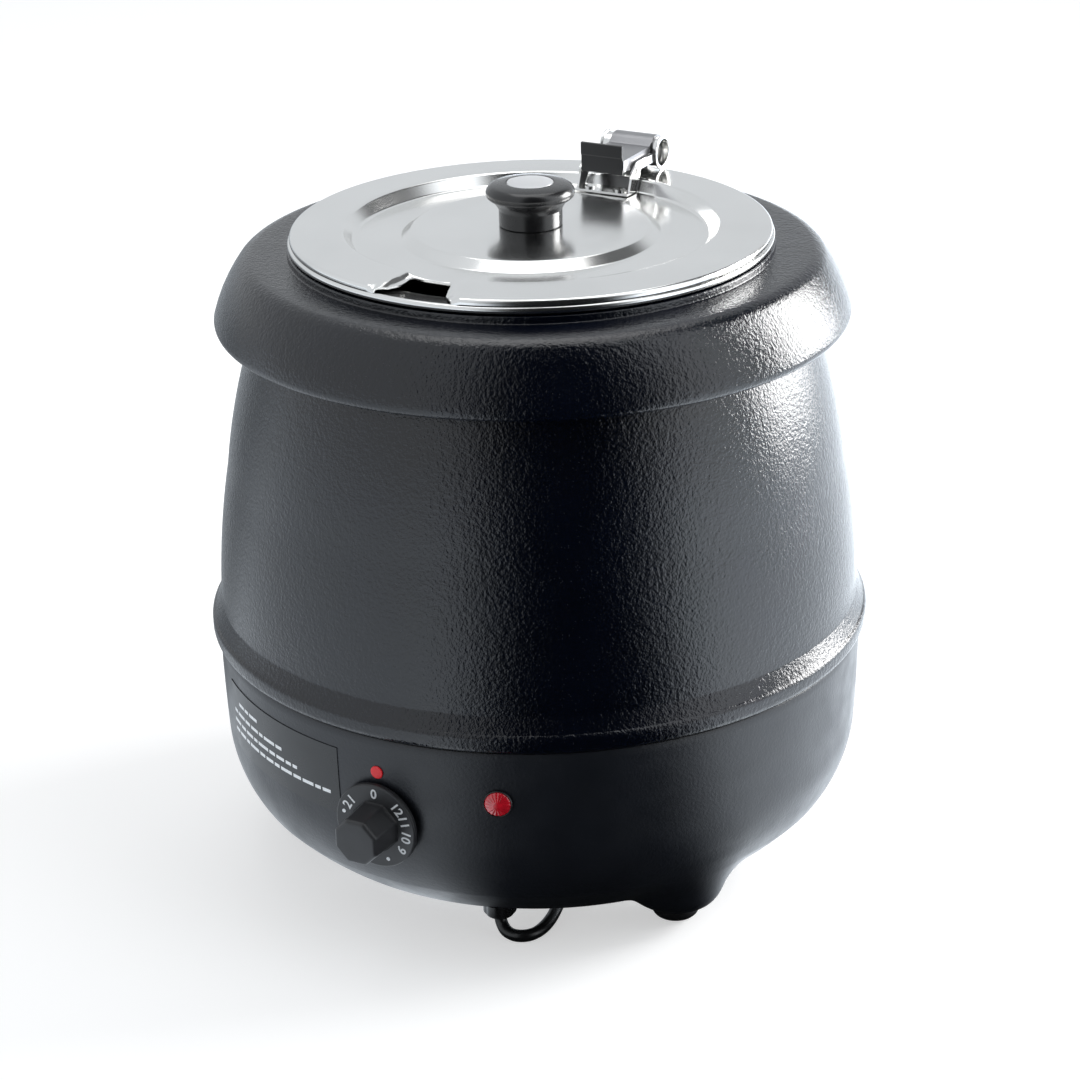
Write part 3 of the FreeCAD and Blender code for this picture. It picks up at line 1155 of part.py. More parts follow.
def make_lever():
    """Thumb lever: a sheet that wraps the barrel, its tab, two cheeks, and its spring."""
    skin = "lever_skin"
    curl = [("pin_y + lever_curl * cos(%s)" % turn, "pin_z + lever_curl * sin(%s)" % turn)
            for turn in ("lever_curl_start", "lever_curl_end")]
    outline = [
        ("lever_tab_y", "lever_plate"),
        ("lever_step", "lever_plate"),
        curl[0] + ("lever_curl", RIGHT),
        curl[1],
    ]
    fold = doc.addObject("Part::Extrusion", "lever_fold")
    fold.Base = sheet_section("lever", outline, skin, "YZ")
    fold.DirMode = "Custom"
    fold.Dir = V(1, 0, 0)
    fold.Solid = True
    bind(fold, LengthFwd="lever_right - lever_left")
    put(fold, "lever_left")
    tab = box("lever_tab", "lever_right - lever_left", "lever_tab_thick",
              "lever_tab_high - lever_tab_low", "lever_left", "lever_tab_y", "lever_tab_low")
    cheek = [
        ("lever_tab_y + " + skin + " / 2", "lever_cheek_front"),
        ("lever_cheek_step", "lever_cheek_low"),
        ("lever_cheek_rear", "lever_cheek_low"),
        ("lever_cheek_back", "lever_cheek_high"),
        ("lever_cheek_back", "lever_plate - " + skin + " / 2"),
        ("lever_tab_y + " + skin + " / 2", "lever_plate - " + skin + " / 2"),
    ]
    cheeks = [side_plate("right_cheek", cheek, "lever_right - " + skin, "lever_right"),
              side_plate("left_cheek", cheek, "lever_left", "lever_left + " + skin)]
    node(join("lever_solid", [fold, tab] + cheeks), "clip_lever")
    pitch = size("(spring_high - spring_low - spring_wire * 2) / spring_turns")
    rise_total = size("spring_high - spring_low - spring_wire * 2")
    path = Part.makeHelix(pitch, rise_total, size("spring_circle"))
    ring = Part.Wire([Part.Circle(V(size("spring_circle"), 0, 0), V(0, 1, 0),
                                  size("spring_wire")).toShape()])
    coil = doc.addObject("Part::Feature", "spring_coil")
    coil.Shape = Part.Wire(path).makePipeShell([ring], True, True)
    coil.Placement = FreeCAD.Placement(
        V(0, size("spring_y"), size("spring_low + spring_wire")), FreeCAD.Rotation())
    node(coil, "lever_spring")


# ---------------------------------------------------------------- build and write

def build():
    """Make every sub-part."""
    make_base_shell()
    make_feet()
    make_floor_cover()
    make_body_shell()
    make_collar()
    make_well()
    make_heating()
    make_thermostat()
    make_bulb()
    make_dial()
    make_marks()
    make_wiring()
    make_cord()
    make_pot()
    make_lid()
    make_lid_knob()
    make_bracket()
    make_pot_clip()
    make_lever()
    doc.recompute()


def check():
    """Stop if any object failed or any sub-part is empty or unsound."""
    faults = [thing.Name + " " + str(thing.State) for thing in doc.Objects
              if "Invalid" in thing.State or "Error" in thing.State]
    for thing in nodes:
        shape = thing.Shape
        if shape.isNull() or not shape.isValid() or not shape.Solids:
            faults.append(thing.Label + " has no sound solid")
    if faults:
        raise RuntimeError("; ".join(faults))


def write():
    """Write one STEP file for each sub-part."""
    os.makedirs("parts", exist_ok=True)
    for thing in nodes:
        thing.Shape.exportStep("parts/%s.step" % thing.Label)
        print(thing.Label, len(thing.Shape.Solids), round(thing.Shape.Volume))


build()
check()
write()
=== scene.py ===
import json
import math

import bmesh
import bpy
import numpy as np
from mathutils import Matrix, Vector


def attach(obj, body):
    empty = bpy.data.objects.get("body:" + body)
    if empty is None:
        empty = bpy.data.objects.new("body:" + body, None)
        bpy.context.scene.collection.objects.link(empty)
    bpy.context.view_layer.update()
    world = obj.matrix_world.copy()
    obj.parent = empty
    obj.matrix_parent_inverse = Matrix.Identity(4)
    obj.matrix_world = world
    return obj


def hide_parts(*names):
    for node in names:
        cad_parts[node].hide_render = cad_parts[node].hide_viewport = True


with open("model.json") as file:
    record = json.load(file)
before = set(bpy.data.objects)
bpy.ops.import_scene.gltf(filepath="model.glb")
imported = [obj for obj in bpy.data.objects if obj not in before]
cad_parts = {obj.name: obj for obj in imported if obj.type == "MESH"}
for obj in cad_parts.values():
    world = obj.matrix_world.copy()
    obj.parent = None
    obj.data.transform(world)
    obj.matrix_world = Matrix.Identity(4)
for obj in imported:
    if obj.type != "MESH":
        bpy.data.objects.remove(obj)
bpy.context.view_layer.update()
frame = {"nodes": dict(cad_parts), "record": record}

MM = 0.001
# side of its chord, seen along the outline, on which an arc has its centre
LEFT = 1
RIGHT = -1


# ---- camera, floor and light

LENS = 91.8
SENSOR = 36.0
CAMERA_PLACE = (0.6212, -1.1420, 0.7216)
CAMERA_AZIMUTH = 28.5
CAMERA_TILT = 66.61
CAMERA_ROLL = -1.29
LAMP_AIM = Vector((0, 0, 0.2))

# a lobe: azimuth, half width where it is full, half width where it ends, share of the level
DIM_SIDE = (40, 20, 44, 0.01)
WALL_LEVEL = 0.85
WALL_LOBES = [(146, 14, 28, 0.12), (-150, 35, 70, 0.92), (98, 8, 22, 1.9)]
FLOOR_LEVEL = 2.3
FLOOR_LOBES = [(-118, 18, 34, 0.25), (-50, 35, 70, 0.5)]
FLOOR_HALF = 40.0
FLOOR_PAPER = (0.62, 0.62, 0.62, 1)
FLOOR_GLOW = 0.52


def shown(name, data):
    """A new object in the scene."""
    made = bpy.data.objects.new(name, data)
    bpy.context.scene.collection.objects.link(made)
    return made


def make_camera():
    """Camera in front of the kettle and to its right, tilted down and rolled a little."""
    camera = shown("camera", bpy.data.cameras.new("camera"))
    camera.data.lens = LENS
    camera.data.sensor_width = SENSOR
    turn = Matrix.Rotation(math.radians(CAMERA_AZIMUTH), 4, "Z")
    tip = Matrix.Rotation(math.radians(CAMERA_TILT), 4, "X")
    roll = Matrix.Rotation(math.radians(CAMERA_ROLL), 4, "Z")
    camera.matrix_world = Matrix.Translation(CAMERA_PLACE) @ turn @ tip @ roll
    bpy.context.scene.camera = camera


def direction(azimuth, elevation):
    """Unit vector towards an azimuth from -Y and an elevation, in degrees."""
    a = math.radians(azimuth)
    e = math.radians(elevation)
    return Vector((math.sin(a) * math.cos(e), -math.cos(a) * math.cos(e), math.sin(e)))


def softbox(name, azimuth, elevation, distance, width, height, radiance):
    """Rectangular lamp that faces the kettle."""
    lamp = shown(name, bpy.data.lights.new(name, "AREA"))
    lamp.data.shape = "RECTANGLE"
    lamp.data.size = width
    lamp.data.size_y = height
    lamp.data.energy = radiance * math.pi * width * height
    towards = direction(azimuth, elevation)
    lamp.location = towards * distance + LAMP_AIM
    lamp.rotation_euler = towards.to_track_quat("Z", "Y").to_euler()
    lamp.visible_camera = False


def link(tree, source, target):
    """Join two sockets."""
    tree.links.new(source, target)


def node(tree, kind, **sockets):
    """A node with its inputs or properties set by name."""
    made = tree.nodes.new(kind)
    for name, value in sockets.items():
        label = name.replace("_", " ")
        if hasattr(made, name) and label not in made.inputs:
            setattr(made, name, value)
        else:
            made.inputs[label].default_value = value
    return made


def maths(tree, operation, first, second):
    """Result of a maths node whose two sides are sockets or plain numbers."""
    made = node(tree, "ShaderNodeMath", operation=operation)
    for value, target in zip((first, second), made.inputs):
        if isinstance(value, float):
            target.default_value = value
        else:
            link(tree, value, target)
    return made.outputs[0]


def lobe(tree, vector, towards, inner, outer, low, high):
    """Level that goes from low near a direction to high away from it, smoothly."""
    dot = node(tree, "ShaderNodeVectorMath", operation="DOT_PRODUCT")
    dot.inputs[1].default_value = towards
    link(tree, vector, dot.inputs[0])
    ramp = node(tree, "ShaderNodeMapRange", interpolation_type="SMOOTHSTEP",
                From_Min=math.cos(math.radians(outer)),
                From_Max=math.cos(math.radians(inner)), To_Min=high, To_Max=low)
    link(tree, dot.outputs["Value"], ramp.inputs["Value"])
    return ramp.outputs["Result"]


def level_around(tree, place, level, lobes):
    """Brightness of the studio in a direction: dim on one side, and changed by each lobe."""
    flat = node(tree, "ShaderNodeVectorMath", operation="MULTIPLY")
    flat.inputs[1].default_value = (1, 1, 0)
    link(tree, place, flat.inputs[0])
    unit = node(tree, "ShaderNodeVectorMath", operation="NORMALIZE")
    link(tree, flat.outputs[0], unit.inputs[0])
    azimuth, inner, outer, least = DIM_SIDE
    total = lobe(tree, unit.outputs[0], direction(azimuth, 0), inner, outer, least, level)
    for azimuth, inner, outer, share in lobes:
        part = lobe(tree, unit.outputs[0], direction(azimuth, 0), inner, outer, share, 1.0)
        total = maths(tree, "MULTIPLY", total, part)
    return total


def two_faced(tree, lit, seen, out):
    """One shader for the light that falls on the kettle, and one for the camera."""
    path = node(tree, "ShaderNodeLightPath")
    mix = node(tree, "ShaderNodeMixShader")
    link(tree, path.outputs["Is Camera Ray"], mix.inputs[0])
    link(tree, lit.outputs[0], mix.inputs[1])
    link(tree, seen.outputs[0], mix.inputs[2])
    link(tree, mix.outputs[0], out.inputs["Surface"])


def make_world():
    """Pale studio with a dim side where the camera stands."""
    world = bpy.data.worlds.new("room")
    world.use_nodes = True
    bpy.context.scene.world = world
    tree = world.node_tree
    tree.nodes.clear()
    seen = node(tree, "ShaderNodeBackground", Color=(1, 1, 1, 1), Strength=1.0)
    lit = node(tree, "ShaderNodeBackground", Color=(0.93, 0.965, 1.0, 1))
    place = node(tree, "ShaderNodeTexCoord")
    link(tree, level_around(tree, place.outputs["Generated"], WALL_LEVEL, WALL_LOBES),
         lit.inputs["Strength"])
    two_faced(tree, lit, seen, node(tree, "ShaderNodeOutputWorld"))


def make_floor():
    """Plain pale floor: paper to the camera, and lit like the studio for the kettle."""
    mesh = bmesh.new()
    bmesh.ops.create_grid(mesh, x_segments=8, y_segments=8, size=FLOOR_HALF)
    data = bpy.data.meshes.new("floor")
    mesh.to_mesh(data)
    mesh.free()
    floor = shown("floor", data)
    finish = bpy.data.materials.new("floor_paper")
    finish.use_nodes = True
    tree = finish.node_tree
    tree.nodes.clear()
    seen = node(tree, "ShaderNodeBsdfPrincipled", Base_Color=FLOOR_PAPER,
                Roughness=0.9, Emission_Color=(1, 1, 1, 1), Emission_Strength=FLOOR_GLOW)
    seen.inputs["Specular IOR Level"].default_value = 0.0
    lit = node(tree, "ShaderNodeEmission", Color=(0.86, 0.93, 1.0, 1))
    place = node(tree, "ShaderNodeTexCoord")
    link(tree, level_around(tree, place.outputs["Object"], FLOOR_LEVEL, FLOOR_LOBES),
         lit.inputs["Strength"])
    two_faced(tree, lit, seen, node(tree, "ShaderNodeOutputMaterial"))
    data.materials.append(finish)


# ---- outlines

NEARLY_NOTHING = 1e-6
EDGE_SHARE = 0.42


def trace(corners, closed=True, turn_step=8.0, longest=7.0):
    """Points along an outline of corners (a, b), or (a, b, radius, side) where an arc leaves."""
    points = []
    count = len(corners) if closed else len(corners) - 1
    for index in range(count):
        start = Vector(corners[index][:2])
        end = Vector(corners[(index + 1) % len(corners)][:2])
        points.append(start)
        if len(corners[index]) == 2:
            continue
        radius, side = corners[index][2:]
        chord = end - start
        across = Vector((-chord.y, chord.x)).normalized()
        drop = math.sqrt(max(radius ** 2 - (chord.length / 2) ** 2, 0))
        centre = start + chord / 2 + across * drop * side
        first = math.atan2(*(start - centre).yx)
        sweep = 2 * math.asin(min(chord.length / 2 / radius, 1)) * side
        pieces = max(2, math.ceil(abs(math.degrees(sweep)) / turn_step),
                     math.ceil(abs(sweep) * radius / longest))
        for step in range(1, pieces):
            angle = first + sweep * step / pieces
            points.append(centre + Vector((math.cos(angle), math.sin(angle))) * radius)
    if not closed:
        points.append(Vector(corners[-1][:2]))
    return points


def soften(points, radius, closed=True, sharp=20.0, pieces=3):
    """The same outline with its sharp corners rounded."""
    rounded = []
    for index, corner in enumerate(points):
        before = points[index - 1]
        after = points[(index + 1) % len(points)]
        ends = not closed and index in (0, len(points) - 1)
        back = before - corner
        ahead = after - corner
        if ends or min(back.length, ahead.length) < NEARLY_NOTHING:
            rounded.append(corner)
            continue
        turn = math.pi - back.angle(ahead)
        if math.degrees(turn) < sharp or abs(corner.x) < NEARLY_NOTHING:
            rounded.append(corner)
            continue
        reach = min(radius * math.tan(turn / 2), EDGE_SHARE * back.length,
                    EDGE_SHARE * ahead.length)
        first = corner + back.normalized() * reach
        last = corner + ahead.normalized() * reach
        for step in range(pieces + 1):
            t = step / pieces
            rounded.append(first * (1 - t) ** 2 + corner * 2 * t * (1 - t) + last * t ** 2)
    return rounded


def shell(points, thickness):
    """Closed outline of a sheet: the open outline, and back again one thickness to its left."""
    inner = []
    for index, point in enumerate(points):
        runs = []
        if index > 0:
            runs.append((point - points[index - 1]).normalized())
        if index + 1 < len(points):
            runs.append((points[index + 1] - point).normalized())
        heading = sum(runs, Vector((0, 0))).normalized()
        across = Vector((-heading.y, heading.x))
        square = max(across.dot(Vector((-runs[0].y, runs[0].x))), 0.5)
        inner.append(point + across * thickness / square)
    if abs(points[0].x) < NEARLY_NOTHING:
        inner[0].x = 0.0
    return points + inner[::-1]


def columns(count, dense=()):
    """Azimuths round a lathe; dense spans (from, to, step) in degrees are cut finer."""
    angles = [360 * index / count for index in range(count)]
    for low, high, step in dense:
        angles = [a for a in angles if not low - step < (a + 180) % 360 - 180 < high + step]
        fine = np.arange(low, high + step / 2, step)
        angles += [float(a) % 360 for a in fine]
    return sorted(set(round(a, 4) for a in angles))


# ---- meshes

BEVEL_FROM = 28


def turned(points, around=96, dense=()):
    """Mesh of a closed outline (radius, height) in mm, turned about Z."""
    mesh = bmesh.new()
    angles = columns(around, dense)
    rings = []
    for point in points:
        if abs(point.x) < NEARLY_NOTHING:
            rings.append([mesh.verts.new((0, 0, point.y * MM))])
            continue
        rings.append([mesh.verts.new((point.x * MM * math.sin(math.radians(a)),
                                      -point.x * MM * math.cos(math.radians(a)),
                                      point.y * MM)) for a in angles])
    total = len(angles)
    for ring, following in zip(rings, rings[1:] + rings[:1]):
        if len(ring) == 1 and len(following) == 1:
            continue
        for index in range(total):
            after = (index + 1) % total
            corners = [ring[index % len(ring)], ring[after % len(ring)],
                       following[after % len(following)], following[index % len(following)]]
            unique = list(dict.fromkeys(corners))
            if len(unique) > 2:
                mesh.faces.new(unique)
    bmesh.ops.recalc_face_normals(mesh, faces=mesh.faces)
    return mesh


def bridge(mesh, rings):
    """Join each ring of corners to the next one with four-sided faces."""
    for ring, following in zip(rings, rings[1:]):
        for index in range(len(ring)):
            after = (index + 1) % len(ring)
            mesh.faces.new([ring[index], ring[after], following[after], following[index]])


def loft(rings):
    """Mesh through rings of equally many points in metres, capped at both ends."""
    mesh = bmesh.new()
    made = [[mesh.verts.new(point) for point in ring] for ring in rings]
    bridge(mesh, made)
    mesh.faces.new(made[0])
    mesh.faces.new(made[-1])
    bmesh.ops.recalc_face_normals(mesh, faces=mesh.faces)
    return mesh


def prism(points, low, high, level=False):
    """Mesh of an outline in Y and Z, or a level one in X and Y, in mm, from low to high."""
    return loft([[Vector((p.x, p.y, at) if level else (at, p.x, p.y)) * MM for p in points]
                 for at in (low, high)])


def placed(mesh, x, y, z, turn=0.0, axis="Z"):
    """A bmesh turned, then moved by millimetres."""
    mesh.transform(Matrix.Translation(Vector((x, y, z)) * MM)
                   @ Matrix.Rotation(math.radians(turn), 4, axis))
    return mesh


def raw(mesh):
    """A plain object made from a bmesh."""
    data = bpy.data.meshes.new("tool")
    mesh.to_mesh(data)
    mesh.free()
    return shown("tool", data)


def applied(thing):
    """The object with its modifiers made part of its mesh."""
    bpy.context.view_layer.update()
    graph = bpy.context.evaluated_depsgraph_get()
    data = bpy.data.meshes.new_from_object(thing.evaluated_get(graph))
    thing.modifiers.clear()
    thing.data = data
    return thing


def boolean(thing, tools, operation):
    """Union with the tools, or the thing with the tools cut away; the tools are used up."""
    for tool in tools:
        change = thing.modifiers.new("boolean", "BOOLEAN")
        change.operation = operation
        change.solver = "EXACT"
        change.object = tool
    applied(thing)
    for tool in tools:
        bpy.data.objects.remove(tool)
    return thing


def coated(thing, finish, sharp=35.0):
    """Give an object its one material, and a mesh smooth shading up to its sharp edges."""
    thing.data.materials.clear()
    thing.data.materials.append(finish)
    if thing.type == "MESH":
        for polygon in thing.data.polygons:
            polygon.use_smooth = True
        thing.data.set_sharp_from_angle(angle=math.radians(sharp))


def piece(thing, name, finish, body="root", stands_for=(), bevel=0.0, sharp=35.0,
          flat_first=False):
    """Finish a visible piece: material, shading, small bevel, and the body that carries it."""
    thing.name = name
    thing.data.name = name
    coated(thing, finish, sharp)
    if bevel:
        edge = thing.modifiers.new("edge", "BEVEL")
        edge.width = bevel * MM
        edge.segments = 2
        edge.limit_method = "ANGLE"
        edge.angle_limit = math.radians(BEVEL_FROM)
    if bevel or flat_first:
        weight = thing.modifiers.new("shade", "WEIGHTED_NORMAL")
        weight.keep_sharp = True
    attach(thing, body)
    if stands_for:
        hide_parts(*stands_for)
    return thing


# ---- finishes

# size of the painted sparkle dots within their cells
SPARKLE_RADIUS = 0.32


def finish_of(name, colour, roughness, metallic=0.0, vary=0.12, vary_scale=40.0, rough_vary=0.06,
              rough_scale=60.0, bumps=(), stretch=(1, 1, 1), sparkle_specks=None, **sockets):
    """Procedural finish: colour and roughness that drift, grain as bump, and optional lighter
    specks painted in as sparkle.
    """
    made = bpy.data.materials.new(name)
    made.use_nodes = True
    tree = made.node_tree
    shader = tree.nodes["Principled BSDF"]
    shader.inputs["Metallic"].default_value = metallic
    for socket, value in sockets.items():
        shader.inputs[socket.replace("_", " ")].default_value = value
    place = node(tree, "ShaderNodeTexCoord")
    scale = node(tree, "ShaderNodeMapping")
    scale.inputs["Scale"].default_value = stretch
    link(tree, place.outputs["Object"], scale.inputs["Vector"])

    def noise(size, detail=3.0, rough=0.55):
        """Noise in object space."""
        made_noise = node(tree, "ShaderNodeTexNoise", Scale=size, Detail=detail, Roughness=rough)
        link(tree, scale.outputs["Vector"], made_noise.inputs["Vector"])
        return made_noise.outputs["Fac"]

    drift = node(tree, "ShaderNodeMapRange", From_Min=0.3, From_Max=0.7)
    link(tree, noise(vary_scale), drift.inputs["Value"])
    shade = node(tree, "ShaderNodeMix", data_type="RGBA")
    shade.inputs[6].default_value = [c * (1 - vary) for c in colour] + [1]
    shade.inputs[7].default_value = [min(c * (1 + vary), 1) for c in colour] + [1]
    link(tree, drift.outputs["Result"], shade.inputs["Factor"])
    tint = shade.outputs[2]
    # painted sparkle: small lighter dots in the base colour stand in for glints off the coat's
    # grain
    if sparkle_specks:
        sparkle_scale, share, sparkle_colour = sparkle_specks
        cells = node(tree, "ShaderNodeTexVoronoi", Scale=sparkle_scale)
        link(tree, scale.outputs["Vector"], cells.inputs["Vector"])
        split = node(tree, "ShaderNodeSeparateColor")
        link(tree, cells.outputs["Color"], split.inputs["Color"])
        pick = maths(tree, "GREATER_THAN", split.outputs["Red"], 1.0 - share)
        dot = maths(tree, "LESS_THAN", cells.outputs["Distance"], SPARKLE_RADIUS)
        over = node(tree, "ShaderNodeMix", data_type="RGBA")
        link(tree, maths(tree, "MULTIPLY", pick, dot), over.inputs["Factor"])
        link(tree, tint, over.inputs[6])
        over.inputs[7].default_value = (*sparkle_colour, 1)
        tint = over.outputs[2]
    link(tree, tint, shader.inputs["Base Color"])
    rough = node(tree, "ShaderNodeMapRange", From_Min=0.3, From_Max=0.7,
                 To_Min=max(roughness - rough_vary, 0.02), To_Max=roughness + rough_vary)
    link(tree, noise(rough_scale, 4.0), rough.inputs["Value"])
    link(tree, rough.outputs["Result"], shader.inputs["Roughness"])
    normal = None
    for kind, size, height in bumps:
        if kind == "noise":
            level = noise(size, 2.0, 0.6)
        else:
            cells = node(tree, "ShaderNodeTexVoronoi", feature="SMOOTH_F1", Scale=size)
            cells.inputs["Smoothness"].default_value = 0.6
            link(tree, scale.outputs["Vector"], cells.inputs["Vector"])
            level = cells.outputs["Distance"]
        bump = node(tree, "ShaderNodeBump", Strength=1.0, Distance=height * MM)
        link(tree, level, bump.inputs["Height"])
        if normal is not None:
            link(tree, normal, bump.inputs["Normal"])
        normal = bump.outputs["Normal"]
    if normal is not None:
        link(tree, normal, shader.inputs["Normal"])
    return made


# the hammered and satin coats carry lighter specks as painted sparkle
HAMMERED = finish_of("hammered_coat", (0.0010, 0.0021, 0.0062), 0.15, vary=0.2,
                     rough_vary=0.03, bumps=[("noise", 620, 0.34), ("noise", 260, 0.20)],
                     sparkle_specks=(1500, 0.04, (0.03, 0.03, 0.034)), Specular_IOR_Level=0.62)
SATIN = finish_of("satin_coat", (0.0118, 0.0134, 0.0180), 0.34, vary=0.12,
                  bumps=[("noise", 620, 0.11)], sparkle_specks=(1600, 0.03, (0.03, 0.03, 0.034)))
RUBBER = finish_of("foot_rubber", (0.010, 0.010, 0.011), 0.55, bumps=[("noise", 1800, 0.03)])
POLISHED = finish_of("polished_steel", (0.80, 0.80, 0.79), 0.17, 1.0, vary=0.03, vary_scale=18,
                     rough_vary=0.03, rough_scale=35, bumps=[("noise", 45, 0.01)])
BRUSHED = finish_of("brushed_steel", (0.66, 0.655, 0.64), 0.28, 1.0, vary=0.05,
                    bumps=[("noise", 700, 0.012)], stretch=(1, 1, 14))
KNOB_BLACK = finish_of("phenolic", (0.010, 0.010, 0.011), 0.26, vary=0.1,
                       bumps=[("noise", 300, 0.008)], Coat_Weight=0.3)
DIAL_BLACK = finish_of("dial_plastic", (0.027, 0.0275, 0.030), 0.42, vary=0.1,
                       bumps=[("noise", 2200, 0.012)])
LEVER_BLACK = finish_of("lever_coat", (0.020, 0.0205, 0.022), 0.36, vary=0.12,
                        bumps=[("noise", 1400, 0.02)])
# painted sheen: the lever is black all over, but its top sheet is painted grey and metallic where
# the overhead light grazes it
LEVER_SHEEN_GREY = finish_of("lever_plate", (0.30, 0.30, 0.31), 0.34, 0.8, vary=0.06,
                       bumps=[("noise", 900, 0.012)])
CAP_SILVER = finish_of("cap_disc", (0.74, 0.74, 0.75), 0.34, 0.65, vary=0.05,
                       bumps=[("noise", 900, 0.01)])
RED_PAINT = finish_of("red_paint", (0.86, 0.010, 0.018), 0.30, vary=0.1,
                      bumps=[("noise", 1200, 0.01)])
LAMP_RED = finish_of("lamp_lens", (0.50, 0.008, 0.02), 0.12, vary=0.35, vary_scale=420,
                     Coat_Weight=1.0, Emission_Color=(0.6, 0.01, 0.02, 1), Emission_Strength=0.12)
BEZEL = finish_of("bezel_plastic", (0.010, 0.010, 0.011), 0.3, bumps=[("noise", 1500, 0.01)])
LABEL = finish_of("label_film", (0.016, 0.0165, 0.018), 0.30, vary=0.08,
                  bumps=[("noise", 300, 0.01)])
PRINT_WHITE = finish_of("printed_white", (0.82, 0.83, 0.84), 0.5, vary=0.08, vary_scale=900,
                        bumps=[("noise", 1500, 0.01)])
CORD = finish_of("cord_sheath", (0.010, 0.010, 0.0105), 0.33, vary=0.12,
                 bumps=[("noise", 900, 0.02)])
PINS = finish_of("pin_brass", (0.62, 0.47, 0.24), 0.22, 1.0, vary=0.06,
                 bumps=[("noise", 700, 0.01)])
ZINC = finish_of("zinc_plate", (0.62, 0.61, 0.58), 0.32, 1.0, vary=0.1,
                 bumps=[("noise", 500, 0.02)])
GALVANISED = finish_of("galvanised_sheet", (0.56, 0.57, 0.58), 0.42, 1.0, vary=0.16,
                       vary_scale=110, bumps=[("noise", 120, 0.03)])
SILICONE = finish_of("silicone", (0.42, 0.40, 0.37), 0.6, bumps=[("noise", 600, 0.02)])
ALUMINIUM = finish_of("aluminium_plate", (0.72, 0.72, 0.72), 0.38, 1.0,
                      bumps=[("noise", 300, 0.02)])
NYLON = finish_of("nylon_white", (0.66, 0.65, 0.60), 0.5, bumps=[("noise", 900, 0.02)])
COPPER = finish_of("copper", (0.72, 0.36, 0.22), 0.3, 1.0, bumps=[("noise", 500, 0.01)])


# ---- cord, coil and plug

CORD_LIES = 3.15
CORD_DOWN = [(37.6, -117.2, 12.3), (37.6, -117.2, 8.5), (39.3, -118.3, 5.1)]
CORD_ALONG = [
    (42.7, -120.3), (48.6, -121.9), (54.2, -119.0), (57.2, -112.6), (57.2, -101.0), (53.6, -85.0),
    (46.0, -62.0), (32.0, -30.0), (6.0, 2.0), (-30.0, 30.0), (-62.0, 64.0), (-88.0, 102.0),
    (-116.0, 136.0), (-136.0, 166.0),
]
TAIL_ROUTE = [
    (-106.0, 232.5, 15.7), (-95.0, 232.9, 14.7), (-81.0, 232.4, 10.1), (-62.0, 232.4, 10.1),
]
COIL_CENTRE = (-106.0, 195.0)
COIL_START = 224.0
COIL_SWEEP = 1574.0
COIL_STEP = 22.0
COIL_RADII = [(0, 42.2), (20, 41.5), (310, 41.5), (360, 35.0), (930, 35.0), (980, 41.5),
              (1240, 41.5), (1290, 38.0), (1574, 38.0)]
COIL_HEIGHTS = [(0, CORD_LIES), (620, CORD_LIES), (670, 9.4), (1240, 9.4), (1290, 15.2),
                (1574, 15.7)]
CORD_DIAMETER = 6.2
PLUG_Y = 232.4
PLUG_Z = 10.1
BLADE_SPACING = 12.7
BLADE_THICK = 1.5
TIE_TURN = 150
TIE_HALF = 3.4
TIE_INSIDE = 0.955


def eased(keys, at):
    """Value between keys (place, value), with soft ends to each change."""
    for (low, first), (high, second) in zip(keys, keys[1:]):
        if at <= high:
            t = max((at - low) / (high - low), 0)
            return first + (second - first) * t * t * (3 - 2 * t)
    return keys[-1][1]


def make_cord():
    """The cord as one smooth curve: gland, floor, coil, then the plug."""
    route = [Vector(point) for point in CORD_DOWN]
    route += [Vector((*point, CORD_LIES)) for point in CORD_ALONG]
    wound = COIL_STEP
    while wound < COIL_SWEEP - COIL_STEP / 2:
        radius = eased(COIL_RADII, wound)
        angle = math.radians(COIL_START - wound)
        route.append(Vector((COIL_CENTRE[0] + radius * math.cos(angle),
                             COIL_CENTRE[1] + radius * math.sin(angle),
                             eased(COIL_HEIGHTS, wound))))
        wound += COIL_STEP
    route += [Vector(point) for point in TAIL_ROUTE]
    curve = bpy.data.curves.new("cord", "CURVE")
    curve.dimensions = "3D"
    curve.bevel_depth = CORD_DIAMETER / 2 * MM
    curve.bevel_resolution = 5
    curve.use_fill_caps = True
    spline = curve.splines.new("NURBS")
    spline.points.add(len(route) - 1)
    for point, place in zip(spline.points, route):
        point.co = (*(place * MM), 1)
    spline.order_u = 3
    spline.use_endpoint_u = True
    spline.resolution_u = 6
    thing = shown("cord", curve)
    return piece(thing, "cord", CORD, stands_for=["supply_cord", "cord_coil"])


def rounded_box(centre, half, corner, ring=8):
    """Ring of points of a rounded rectangle in Y and Z at a place along X, in metres."""
    points = []
    for quarter, (sy, sz) in enumerate(((1, 1), (-1, 1), (-1, -1), (1, -1))):
        for step in range(ring + 1):
            angle = math.pi / 2 * (quarter + step / ring)
            points.append(Vector((
                centre[0], centre[1] + sy * (half[0] - corner) + corner * math.cos(angle),
                centre[2] + sz * (half[1] - corner) + corner * math.sin(angle))) * MM)
    return points


